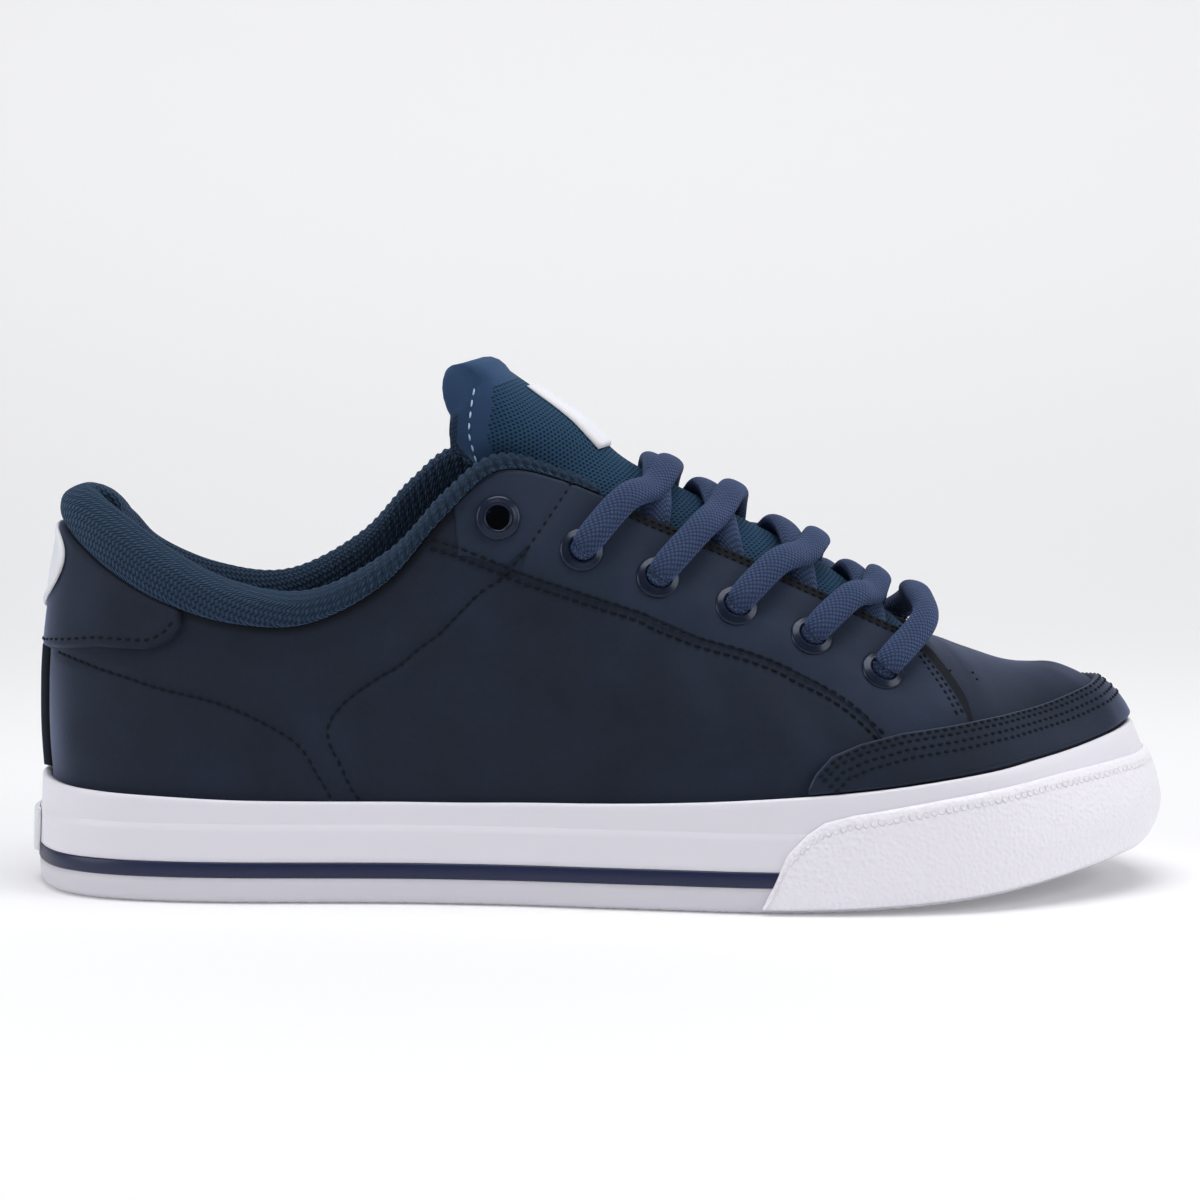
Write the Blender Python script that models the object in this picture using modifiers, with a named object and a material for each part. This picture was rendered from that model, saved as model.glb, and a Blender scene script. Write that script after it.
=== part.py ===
# Low skateboarding shoe, right foot, built as a maker puts it together.
# Metres, +X to the toe, +Y to the inner (medial) side, +Z up.
# The origin is on the ground, under the middle of the heel seat.
from collections import namedtuple
from math import asin, cos, pi, radians, sin

import bmesh
import bpy
import numpy as np
from mathutils import Matrix, Vector

# Driving sizes of the last and the sole
LENGTH = 0.291
BALL_WIDTH = 0.1080
HEEL_WIDTH = 0.0808
HEEL_HEIGHT = 0.0940
INSTEP_HEIGHT = 0.1074
HEEL_SEAT = 0.0450
TOE_SPRING = 0.0100

# Layers of the sole, measured up from its underside
OUTSOLE_THICKNESS = 0.0068
STRIPE_HEIGHT = 0.0034
STRIPE_DEPTH = 0.0033
STRIPE_PROUD = 0.0002
STRIPE_SUNK = 0.0010
FLOOR_THICKNESS = 0.0015
FOXING_HEIGHT = 0.0257
FOXING_WALL = 0.0020
TAPE_HEIGHT = 0.0200
TAPE_STEP = 0.0005
ARCH_RISE = 0.0012
WALL_LEAN = 0.0012
WALL_TUCK = 0.0006
TOE_LEAN = 0.0060
TOE_TUCK = 0.0045
EDGE_ROUND = 0.0026
BUMPER_THICKNESS = 0.0015
TOP_TAPER = 0.5
INSOLE_THICKNESS = 0.0040

# Upper, its overlays and its padding
WALL = 0.0020
FLANGE = 0.0080
OVERLAY = 0.0011
COLLAR_ROLL = 0.0100
COLLAR_RISE = 0.0090
COLLAR_DEPTH = 0.0150
MEDIAL_COLLAR_BACK = 0.0115
TONGUE_WIDTH = 0.0520
TONGUE_THICKNESS = 0.0085
TONGUE_HEIGHT = 0.1350
TONGUE_TWIST = 0.20
LABEL_THICKNESS = 0.0007
BADGE_RADIUS = 0.0105
BADGE_STRETCH = 1.15
BADGE_MIDDLE = 0.0815
INSOLE_DISH = 0.0140

# Eyelets and lace
EYELET_HOLE = 0.0030
EYELET_FLANGE = 0.0056
EYELET_BARREL = 0.0006
EYELET_RIM = 0.0010
LACE_WIDTH = 0.0080
LACE_THICKNESS = 0.0040
LACE_AHEAD = 0.0095
BAR_AHEAD = 0.0080
BAR_REACH = 0.0030
BAR_RISE = 0.0040
BAR_HALF = 0.0080
HOLE_CUT = 0.0140

# Clearance between neighbours, and between curved neighbours
GAP = 0.0003
CURVED_GAP = 0.0006
EYESTAY_GAP = 0.0008

# One row for each station from the middle of the heel (row 0) to the tip of
# the toe. along, lateral and medial give the sole's outline; foxing is the top
# line of the sole's wall; top_along, top_out and top_up give the upper's top
# edge (collar, throat, then the ridge of the vamp). Lengths are shares of
# LENGTH, widths of the half width there, heights of the height there.
# rise and lean are the wall's angles from upright at its foot and its top, in
# degrees; roll and crest are the collar's thickness and height as shares.
Station = namedtuple(
    "Station",
    "along lateral medial foxing top_along top_out top_up rise lean roll crest")
STATIONS = [
    Station(0.000, 0.000, 0.000, 1.113, 0.033, 0.000, 1.000, 5, 12, 1.30, 0.90),
    Station(0.009, 0.359, 0.359, 1.101, 0.036, 0.175, 0.985, 5, 14, 1.05, 1.00),
    Station(0.034, 0.668, 0.656, 1.082, 0.052, 0.345, 0.935, 4, 14, 0.95, 1.35),
    Station(0.076, 0.861, 0.842, 1.058, 0.085, 0.540, 0.860, 3, 12, 1.00, 1.50),
    Station(0.131, 0.960, 0.928, 1.035, 0.131, 0.695, 0.788, 2, 10, 1.10, 1.35),
    Station(0.192, 0.998, 0.948, 1.008, 0.189, 0.782, 0.738, 1, 8, 1.05, 1.05),
    Station(0.261, 1.003, 0.936, 1.000, 0.254, 0.817, 0.721, 0, 8, 0.90, 0.85),
    Station(0.326, 1.010, 0.923, 1.000, 0.320, 0.817, 0.775, 0, 8, 0.80, 0.80),
    Station(0.385, 1.010, 0.913, 1.000, 0.369, 0.778, 0.898, 0, 8, 0.65, 0.65),
    Station(0.440, 0.983, 0.893, 1.012, 0.416, 0.654, 1.000, 0, 12, 0.48, 0.42),
    Station(0.502, 0.960, 0.880, 1.023, 0.474, 0.519, 0.973, 0, 22, 0.42, 0.28),
    Station(0.564, 0.950, 0.893, 1.047, 0.543, 0.447, 0.890, 0, 30, 0.40, 0.20),
    Station(0.625, 0.978, 0.941, 1.089, 0.619, 0.426, 0.805, -1, 36, 0.40, 0.20),
    Station(0.687, 1.000, 0.985, 1.140, 0.694, 0.426, 0.712, -3, 44, 0.40, 0.20),
    Station(0.742, 0.994, 0.996, 1.198, 0.759, 0.407, 0.628, -8, 54, 0.40, 0.20),
    Station(0.797, 0.952, 0.959, 1.276, 0.789, 0.222, 0.600, -14, 74, 0.40, 0.20),
    Station(0.845, 0.870, 0.893, 1.346, 0.797, 0.000, 0.588, -20, 86, 0.40, 0.20),
    Station(0.880, 0.775, 0.808, 1.412, 0.820, 0.000, 0.565, -24, 86, 0.40, 0.20),
    Station(0.917, 0.650, 0.690, 1.479, 0.842, 0.000, 0.549, -25, 84, 0.40, 0.20),
    Station(0.953, 0.495, 0.532, 1.556, 0.863, 0.000, 0.535, -25, 82, 0.40, 0.20),
    Station(0.983, 0.305, 0.332, 1.626, 0.880, 0.000, 0.525, -25, 80, 0.40, 0.20),
    Station(1.000, 0.000, 0.000, 1.658, 0.893, 0.000, 0.519, -25, 79, 0.40, 0.20),
]
TIP = len(STATIONS) - 1
LOOP = 2 * TIP

# Places counted in stations: ends of the throat and of the collar, and half
# the width of the strip and the label at the back of the heel
THROAT_END = 16
COLLAR_END = 10.5
STRIP_HALF = 0.42
HEEL_LABEL_HALF = 0.85

# Top line of the toe bumper: along, height above the ground as a share of
# FOXING_HEIGHT.
BUMPER_LINE = [(0.640, 0.08), (0.650, 0.31), (0.660, 0.58), (0.676, 0.77), (0.691, 0.89),
               (0.715, 0.96), (0.750, 1.02), (0.793, 1.10), (0.846, 1.18), (0.903, 1.27),
               (0.966, 1.34), (1.000, 1.36)]

# Edges of the overlays: along, height as a share of INSTEP_HEIGHT
TOE_CAP_LINE = [(0.670, 0.24), (0.684, 0.32), (0.698, 0.36), (0.722, 0.385), (0.757, 0.405),
                (0.801, 0.417), (0.845, 0.430), (0.894, 0.448), (0.928, 0.463), (0.947, 0.474),
                (1.000, 0.52)]
HEEL_PATCH_LINE = [(0.000, 0.555), (0.028, 0.570), (0.070, 0.584), (0.115, 0.583),
                   (0.129, 0.597), (0.139, 0.618), (0.149, 0.66), (0.160, 0.74)]
EYESTAY_LINE = [(0.390, 0.805), (0.417, 0.786), (0.450, 0.751), (0.503, 0.705), (0.537, 0.675),
                (0.588, 0.619), (0.622, 0.591), (0.656, 0.560), (0.690, 0.513), (0.723, 0.453),
                (0.745, 0.425), (0.801, 0.435), (0.845, 0.450)]
FLAP_FRONT_LINE = [(0.700, 2.00), (0.745, 0.80), (0.769, 0.615), (0.789, 0.569),
                   (0.801, 0.529), (0.812, 0.485), (0.821, 0.436), (0.850, 0.30)]

# Eyelets from the ankle to the toe: along, height as a share of INSTEP_HEIGHT
EYELETS = [(0.416, 0.891), (0.487, 0.815), (0.552, 0.750), (0.619, 0.684), (0.683, 0.614),
           (0.743, 0.534)]

# Tongue sections from its top edge to its root under the vamp. mid is the
# crown line, side the outer edge: lengths are shares of LENGTH, heights of
# TONGUE_HEIGHT, width of TONGUE_WIDTH, thick of TONGUE_THICKNESS.
Section = namedtuple("Section", "mid_along mid_up side_along side_up width thick")
TONGUE = [
    Section(0.412, 0.996, 0.402, 0.980, 0.96, 1.20),
    Section(0.443, 0.950, 0.396, 0.920, 1.04, 1.45),
    Section(0.485, 0.890, 0.394, 0.840, 1.00, 1.40),
    Section(0.524, 0.811, 0.412, 0.740, 0.86, 0.90),
    Section(0.570, 0.757, 0.481, 0.615, 0.84, 0.70),
    Section(0.629, 0.694, 0.564, 0.545, 0.90, 0.60),
    Section(0.684, 0.630, 0.629, 0.478, 0.94, 0.52),
    Section(0.732, 0.560, 0.687, 0.415, 0.94, 0.45),
    Section(0.773, 0.490, 0.735, 0.365, 0.90, 0.40),
    Section(0.811, 0.423, 0.784, 0.330, 0.82, 0.36),
]

UP = Vector((0, 0, 1))


def smooth(low, high, value):
    """Rises from 0 to 1 between low and high without a corner."""
    share = min(1.0, max(0.0, (value - low) / (high - low)))
    return share * share * (3 - 2 * share)


def on_line(line, where):
    """Height of a line of (along, height) points at one place."""
    return float(np.interp(where, [p[0] for p in line], [p[1] for p in line]))


def through(rows, place, closed):
    """Smooth curve through table rows, read at a fractional row number."""
    count = len(rows)
    low = int(np.floor(place))
    share = place - low
    if closed:
        a, b, c, d = (rows[(low + step) % count] for step in (-1, 0, 1, 2))
    else:
        low = min(max(low, 0), count - 2)
        share = place - low
        b, c = rows[low], rows[low + 1]
        a = rows[low - 1] if low else 2 * b - c
        d = rows[low + 2] if low + 2 < count else 2 * c - b
    return 0.5 * (2 * b + (c - a) * share + (2 * a - 5 * b + 4 * c - d) * share ** 2
                  + (3 * b - a - 3 * c + d) * share ** 3)


def half_width_at(along):
    """Half the sole's width that the shares refer to: heel, then ball."""
    return 0.5 * (HEEL_WIDTH + (BALL_WIDTH - HEEL_WIDTH) * smooth(0.33, 0.62, along))


def height_at(along):
    """Height that the top edge's shares refer to: heel, then instep."""
    return HEEL_HEIGHT + (INSTEP_HEIGHT - HEEL_HEIGHT) * smooth(0.20, 0.40, along)


def collar_share(along):
    """How much of the inner collar's backward shift a place takes."""
    return smooth(0.03, 0.13, along) * (1 - smooth(0.40, 0.52, along))


def station_row(station, side):
    """A station in metres and degrees, on the lateral (-1) or medial side."""
    half = half_width_at(station.along)
    width = station.lateral if side < 0 else station.medial
    back = MEDIAL_COLLAR_BACK * collar_share(station.top_along) if side > 0 else 0.0
    return np.array([
        station.along * LENGTH - HEEL_SEAT, side * width * half,
        station.foxing * FOXING_HEIGHT, station.top_along * LENGTH - HEEL_SEAT - back,
        side * station.top_out * half, station.top_up * height_at(station.top_along),
        station.rise, station.lean, station.roll * COLLAR_ROLL, station.crest * COLLAR_RISE])


# The stations run round the shoe: heel, lateral side, tip, medial side.
AROUND = [station_row(row, -1) for row in STATIONS]
AROUND += [station_row(row, 1) for row in STATIONS[-2:0:-1]]


def around(u):
    """Interpolated station at u: 0 heel, TIP toe, up to LOOP back at the heel."""
    return through(AROUND, u, True)


def along_of(x):
    """Share of the shoe's length at an x."""
    return (x + HEEL_SEAT) / LENGTH


def spring(x):
    """Height of the sole's underside: flat, then rising to the toe."""
    return TOE_SPRING * max(0.0, (along_of(x) - 0.65) / 0.35) ** 1.8


def outward(u):
    """Horizontal direction out of the outline at u."""
    step = 0.01
    run = around(u + step)[:2] - around(u - step)[:2]
    return Vector((run[1], -run[0], 0)).normalized()


def wall_inset(u, share):
    """How far the sole's wall lies inside its widest line at a share of its height."""
    toe = smooth(0.80, 1.0, along_of(around(u)[0]))
    under = max(0.0, 1 - share / 0.35) ** 2
    over = max(0.0, (share - 0.35) / 0.65) ** 1.5
    side = WALL_LEAN * share + WALL_TUCK * under
    return side * (1 - toe) + (TOE_TUCK * under + TOE_LEAN * over) * toe


def sole_point(u, z, inset):
    """Point of the sole's wall at a height above the underside, moved inwards."""
    row = around(u)
    share = z / (row[2] - spring(row[0]))
    place = Vector((row[0], row[1], 0)) - outward(u) * (wall_inset(u, share) + inset)
    place.z = spring(place.x) + z
    return place


def wall_top(u):
    """Height of the sole's top line above the underside."""
    row = around(u)
    return row[2] - spring(row[0])


STRIPE_LOW = OUTSOLE_THICKNESS + GAP / 2
STRIPE_TOP = STRIPE_LOW + STRIPE_HEIGHT
FLOOR_LOW = OUTSOLE_THICKNESS + GAP
CUP_STEP = STRIPE_TOP + GAP / 2
FLOOR_TOP = CUP_STEP + FLOOR_THICKNESS
UPPER_INSET = TAPE_STEP + FOXING_WALL + GAP


def upper_base(u, share):
    """Upper inside the cup: share 0 at its lower corner, 1 at the top line."""
    low = FLOOR_TOP + GAP
    return sole_point(u, low + (wall_top(u) - low) * share, UPPER_INSET)


def upper_point(u, s):
    """Upper's outer face: s from 0 at the sole's top line to 1 at its top edge."""
    row = around(u)
    foot = upper_base(u, 1)
    top = Vector(row[3:6])
    if abs((u + TIP) % LOOP - TIP) >= THROAT_END:
        top.y = 0
    out = outward(u)
    inward = Vector((top.x - foot.x, top.y - foot.y, 0)).normalized()
    reach = (top - foot).length
    rise, lean = radians(row[6]), radians(row[7])
    a = foot + (UP * cos(rise) + out * sin(rise)) * reach * 0.33
    b = top - (UP * cos(lean) + inward * sin(lean)) * reach * 0.38
    r = 1 - s
    return foot * r ** 3 + a * 3 * r * r * s + b * 3 * r * s * s + top * s ** 3


def upper_normal(u, s):
    """Outward normal of the upper's face."""
    step = 0.02
    s0, s1 = max(0.0, s - step), min(1.0, s + step)
    run = upper_point(u + step, s) - upper_point(u - step, s)
    climb = upper_point(u, s1) - upper_point(u, s0)
    return run.cross(climb).normalized()


def upper_off(u, s, offset):
    """Point at a distance outside the upper's face."""
    return upper_point(u, s) + upper_normal(u, s) * offset


def solve(low, high, below):
    """Place between low and high where below() turns false."""
    for _ in range(22):
        middle = (low + high) / 2
        if below(middle):
            low = middle
        else:
            high = middle
    return (low + high) / 2


def s_at_line(u, line):
    """Share s at which a column crosses a line of (along, height) points."""
    def below(s):
        point = upper_point(u, s)
        return point.z < on_line(line, along_of(point.x)) * INSTEP_HEIGHT
    return solve(0.0, 1.0, below)


def locate(along, up):
    """Column and share of the lateral face at a place given in shares."""
    def s_of(u):
        return solve(0.0, 1.0, lambda s: upper_point(u, s).z < up * INSTEP_HEIGHT)
    u = solve(4.0, 17.0, lambda v: along_of(upper_point(v, s_of(v)).x) < along)
    return u, s_of(u)


# Objects and materials
def clear_scene():
    for item in list(bpy.data.objects):
        bpy.data.objects.remove(item, do_unlink=True)


def collection(name):
    group = bpy.data.collections.new(name)
    bpy.context.scene.collection.children.link(group)
    return group


def material(name, colour, roughness, metallic=0.0):
    look = bpy.data.materials.new(name)
    look.use_nodes = True
    shader = look.node_tree.nodes["Principled BSDF"]
    shader.inputs["Base Color"].default_value = (*colour, 1)
    shader.inputs["Roughness"].default_value = roughness
    shader.inputs["Metallic"].default_value = metallic
    return look


clear_scene()
PARTS = collection("skate_shoe")
CUTTERS = collection("cutters")
WHITE = (0.80, 0.80, 0.84)
NAVY = (0.014, 0.022, 0.045)
KNIT = (0.020, 0.040, 0.080)
CORD = (0.035, 0.045, 0.110)
INK = (0.008, 0.012, 0.030)


def finish(name, mesh, colour, roughness, metallic=0.0, group=None):
    """Closed, outward facing, smooth-shaded object with its own material."""
    bmesh.ops.remove_doubles(mesh, verts=mesh.verts, dist=1e-6)
    bmesh.ops.recalc_face_normals(mesh, faces=mesh.faces)
    if mesh.calc_volume(signed=True) < 0:
        bmesh.ops.reverse_faces(mesh, faces=mesh.faces)
    data = bpy.data.meshes.new(name)
    mesh.to_mesh(data)
    mesh.free()
    data.shade_smooth()
    data.set_sharp_from_angle(angle=radians(40))
    thing = bpy.data.objects.new(name, data)
    (group or PARTS).objects.link(thing)
    thing.data.materials.append(material(name, colour, roughness, metallic))
    return thing


def add_grid(mesh, rows, closed_rows=False, closed_columns=False):
    """Quads between rows of points; returns the rows of vertices."""
    verts = [[mesh.verts.new(point) for point in row] for row in rows]
    row_count = len(rows) - (0 if closed_rows else 1)
    for r in range(row_count):
        first, second = verts[r], verts[(r + 1) % len(rows)]
        column_count = len(first) - (0 if closed_columns else 1)
        for c in range(column_count):
            d = (c + 1) % len(first)
            mesh.faces.new((first[c], first[d], second[d], second[c]))
    return verts


def cap_loop(mesh, loop):
    """Closes a loop round the shoe with quads from side to side."""
    tip = len(loop) // 2
    for i in range(tip):
        corners = [loop[i], loop[i + 1], loop[-(i + 1)], loop[-i]]
        faces = list(dict.fromkeys(corners))
        if len(faces) > 2:
            mesh.faces.new(faces)


def columns(heel=2, middle=1, toe=2):
    """Places round the whole outline, closer together at heel and toe."""
    lateral = []
    for k in range(TIP):
        parts = heel if k < 4 else toe if k > 15 else middle
        lateral += [k + step / parts for step in range(parts)]
    return lateral + [TIP] + [LOOP - u for u in lateral[:0:-1]]


def span(low, high, parts):
    """Evenly spaced values from low to high."""
    return [low + (high - low) * i / parts for i in range(parts + 1)]


# Sole
def build_outsole():
    mesh = bmesh.new()
    places = columns()
    rings = [
        [sole_point(u, 0, EDGE_ROUND * 5) for u in places],
        [sole_point(u, 0, EDGE_ROUND * 4) for u in places],
        [sole_point(u, 0, EDGE_ROUND) for u in places],
        [sole_point(u, EDGE_ROUND * 0.45, EDGE_ROUND * 0.3) for u in places],
        [sole_point(u, EDGE_ROUND, 0) for u in places],
        [sole_point(u, OUTSOLE_THICKNESS, 0) for u in places],
    ]
    for point in rings[0]:
        along = along_of(point.x)
        point.z += ARCH_RISE * smooth(0.34, 0.38, along) * (1 - smooth(0.48, 0.52, along))
    verts = add_grid(mesh, rings, closed_columns=True)
    cap_loop(mesh, verts[0])
    cap_loop(mesh, verts[-1])
    return finish("outsole", mesh, WHITE, 0.55)


def stripe_inset(u):
    """The stripe is a little proud of the wall, and sunk under the bumper."""
    hidden = smooth(BUMPER_LINE[2][0], BUMPER_LINE[5][0], along_of(around(u)[0]))
    return STRIPE_SUNK * hidden - STRIPE_PROUD * (1 - hidden)


def build_stripe():
    mesh = bmesh.new()
    places = columns()
    rings = [
        [sole_point(u, STRIPE_LOW, STRIPE_DEPTH) for u in places],
        [sole_point(u, STRIPE_LOW, stripe_inset(u)) for u in places],
        [sole_point(u, STRIPE_TOP, stripe_inset(u)) for u in places],
        [sole_point(u, STRIPE_TOP, STRIPE_DEPTH) for u in places],
    ]
    add_grid(mesh, rings, closed_rows=True, closed_columns=True)
    return finish("foxing_stripe", mesh, INK, 0.45)


def build_cup():
    mesh = bmesh.new()
    places = columns()
    core = STRIPE_DEPTH + GAP
    inner = TAPE_STEP + FOXING_WALL
    rings = [
        [sole_point(u, FLOOR_LOW, core) for u in places],
        [sole_point(u, CUP_STEP, core) for u in places],
        [sole_point(u, CUP_STEP, 0) for u in places],
        [sole_point(u, (CUP_STEP + TAPE_HEIGHT) / 2, 0) for u in places],
        [sole_point(u, TAPE_HEIGHT, 0) for u in places],
        [sole_point(u, TAPE_HEIGHT, TAPE_STEP) for u in places],
        [sole_point(u, wall_top(u) * 0.6 + TAPE_HEIGHT * 0.4, TAPE_STEP) for u in places],
        [sole_point(u, wall_top(u), TAPE_STEP) for u in places],
        [sole_point(u, wall_top(u), inner) for u in places],
        [sole_point(u, (wall_top(u) + FLOOR_TOP) / 2, inner) for u in places],
        [sole_point(u, FLOOR_TOP, inner) for u in places],
    ]
    verts = add_grid(mesh, rings, closed_columns=True)
    cap_loop(mesh, verts[0])
    cap_loop(mesh, verts[-1])
    return finish("midsole_cup", mesh, WHITE, 0.5)


def shell_patch(mesh, inner, outer):
    """Closed plate between two like grids of points."""
    low = add_grid(mesh, inner)
    high = add_grid(mesh, outer)
    rim_low = low[0] + [row[-1] for row in low[1:]] + low[-1][-2::-1]
    rim_low += [row[0] for row in low[-2:0:-1]]
    rim_high = high[0] + [row[-1] for row in high[1:]] + high[-1][-2::-1]
    rim_high += [row[0] for row in high[-2:0:-1]]
    for i, vert in enumerate(rim_low):
        j = (i + 1) % len(rim_low)
        mesh.faces.new((vert, rim_low[j], rim_high[j], rim_high[i]))


def wall_patch(name, places, lows, highs, near, far, colour, roughness, rows=4):
    """Plate on the sole's wall, from near to far outside it, thinner at its top."""
    grids = []
    for offset in (near, far):
        grids.append([[sole_point(u, low + (high - low) * r / rows,
                                  -near - (offset - near) * (1 - TOP_TAPER * (r / rows) ** 3))
                       for u, low, high in zip(places, lows, highs)]
                      for r in range(rows + 1)])
    mesh = bmesh.new()
    shell_patch(mesh, *grids)
    return finish(name, mesh, colour, roughness)


def build_bumper():
    start = solve(10.0, 16.0, lambda u: along_of(around(u)[0]) < BUMPER_LINE[0][0] + 0.002)
    lateral = [start, start + 0.25, start + 0.5, start + 0.8]
    lateral += [u for u in columns() if start + 1.1 < u < TIP]
    places = lateral + [TIP] + [LOOP - u for u in lateral[::-1]]
    lows = [EDGE_ROUND * 0.6 for _ in places]
    highs = []
    for u in places:
        x = around(u)[0]
        highs.append(on_line(BUMPER_LINE, along_of(x)) * FOXING_HEIGHT - spring(x))
    offset = STRIPE_PROUD + GAP
    return wall_patch("toe_bumper", places, lows, highs, offset,
                      offset + BUMPER_THICKNESS, WHITE, 0.7)


def build_heel_label():
    places = span(LOOP - HEEL_LABEL_HALF, LOOP + HEEL_LABEL_HALF, 4)
    low, high = OUTSOLE_THICKNESS + GAP, TAPE_HEIGHT - GAP
    offset = STRIPE_PROUD + GAP
    return wall_patch("heel_label", places, [low] * len(places), [high] * len(places), offset,
                      offset + LABEL_THICKNESS * 1.5, WHITE, 0.4, rows=2)


def build_insole():
    mesh = bmesh.new()
    places = columns(1, 1, 2)
    low = FLOOR_TOP + GAP + WALL + GAP
    high = low + INSOLE_THICKNESS
    inset = UPPER_INSET + WALL + GAP * 3
    rings = [
        [sole_point(u, low, inset + INSOLE_THICKNESS * 0.3) for u in places],
        [sole_point(u, (low + high) / 2, inset + GAP) for u in places],
        [sole_point(u, high, inset + INSOLE_THICKNESS * 0.1) for u in places],
        [sole_point(u, high - INSOLE_THICKNESS * 0.3, inset + INSOLE_DISH) for u in places],
    ]
    verts = add_grid(mesh, rings, closed_columns=True)
    cap_loop(mesh, verts[0])
    cap_loop(mesh, verts[-1])
    return finish("insole", mesh, KNIT, 0.9)


# Upper and its overlays
def build_upper(cutter):
    """One open surface from the turned-in foot to the top edge, given its wall."""
    mesh = bmesh.new()
    places = columns()
    rows = []
    foot = [upper_base(u, 0) for u in places]
    rows.append([sole_point(u, FLOOR_TOP + GAP, UPPER_INSET + FLANGE) for u in places])
    rows.append(foot)
    rows.append([upper_base(u, 0.5) for u in places])
    for s in (0, 0.18, 0.36, 0.53, 0.67, 0.79, 0.90, 1):
        rows.append([upper_point(u, s) for u in places])
    add_grid(mesh, rows, closed_columns=True)
    bmesh.ops.remove_doubles(mesh, verts=mesh.verts, dist=1e-6)
    upper = finish("upper", mesh, NAVY, 0.75)
    if outer_face_points_in(upper):
        upper.data.flip_normals()
    wall = upper.modifiers.new("wall", "SOLIDIFY")
    wall.thickness = WALL
    wall.offset = -1
    wall.use_rim = True
    cut_with(upper, cutter)
    return upper


def outer_face_points_in(thing):
    """True where the lowest side face of an open shell looks inwards."""
    face = max(thing.data.polygons, key=lambda f: abs(f.center.y))
    return face.normal.y * face.center.y < 0


def cut_with(thing, cutter):
    holes = thing.modifiers.new("holes", "BOOLEAN")
    holes.operation = "DIFFERENCE"
    holes.solver = "EXACT"
    holes.object = cutter


def overlay(name, places, lows, highs, colour, roughness, near=CURVED_GAP, thick=OVERLAY, rows=4):
    """Plate on the upper's face between two shares of each column."""
    grids = []
    for offset in (near, near + thick):
        grids.append([[upper_off(u, low + (high - low) * r / rows, offset)
                       for u, low, high in zip(places, lows, highs)]
                      for r in range(rows + 1)])
    mesh = bmesh.new()
    shell_patch(mesh, *grids)
    return finish(name, mesh, colour, roughness)


def build_toe_cap():
    start = solve(11.0, 16.0, lambda u: s_at_line(u, TOE_CAP_LINE) < 0.04)
    lateral = [start, start + 0.3]
    lateral += [u for u in columns() if start + 0.5 < u < TIP]
    places = lateral + [TIP] + [LOOP - u for u in lateral[::-1]]
    highs = [s_at_line(u, TOE_CAP_LINE) for u in places]
    return overlay("toe_cap", places, [0.012] * len(places), highs, NAVY, 0.7)


def build_heel_patch():
    last = solve(3.0, 6.0, lambda u: s_at_line(u, HEEL_PATCH_LINE) < 0.93)
    lateral = [u for u in columns() if 0 < u < last - 0.2] + [last]
    places = [LOOP - u for u in lateral[::-1]] + [LOOP] + [LOOP + u for u in lateral]
    lows = [s_at_line(u, HEEL_PATCH_LINE) for u in places]
    return overlay("heel_patch", places, lows, [0.99] * len(places), NAVY, 0.7)


def build_back_strip():
    places = span(LOOP - STRIP_HALF, LOOP + STRIP_HALF, 2)
    high = s_at_line(LOOP, HEEL_PATCH_LINE) - 0.012
    return overlay("back_strip", places, [0.015] * len(places), [high] * len(places), NAVY, 0.65)


def build_eyestay(name, side, cutter):
    last = solve(14.0, 17.0, lambda u: s_at_line(u, FLAP_FRONT_LINE)
                 - s_at_line(u, EYESTAY_LINE) > 0.05)
    lateral = [8, 8.5, 9, 10, 11, 12, 13, 14, 14.4, 14.7, 15]
    lateral = [u for u in lateral if u < last - 0.1] + [last]
    places = lateral if side < 0 else [LOOP - u for u in lateral]
    lows = [s_at_line(u, EYESTAY_LINE) for u in lateral]
    highs = [min(0.99, s_at_line(u, FLAP_FRONT_LINE)) for u in lateral]
    eyestay = overlay(name, places, lows, highs, NAVY, 0.7, near=EYESTAY_GAP)
    cut_with(eyestay, cutter)
    return eyestay


def build_badge():
    """Plain round disc sewn on the back of the heel."""
    mesh = bmesh.new()
    near = CURVED_GAP + OVERLAY + CURVED_GAP
    sectors = 16
    shares = (0.0, 0.35, 0.7, 1.0)

    def place(offset, share, turn):
        z = BADGE_MIDDLE + BADGE_RADIUS * share * sin(turn)
        y = BADGE_RADIUS * BADGE_STRETCH * share * cos(turn)

        def y_at(u):
            s = solve(0.0, 1.0, lambda v: upper_point(u, v).z < z)
            return -upper_point(u, s).y
        u = LOOP + solve(-2.0, 2.0, lambda v: y_at(LOOP + v) < y)
        s = solve(0.0, 1.0, lambda v: upper_point(u, v).z < z)
        return upper_off(u, s, offset)

    rings = []
    for offset, order in ((near, shares), (near + LABEL_THICKNESS, shares[::-1])):
        rings += [[place(offset, share, 2 * pi * i / sectors) for i in range(sectors)]
                  for share in order]
    add_grid(mesh, rings, closed_columns=True)
    return finish("heel_badge", mesh, WHITE, 0.6)


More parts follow.
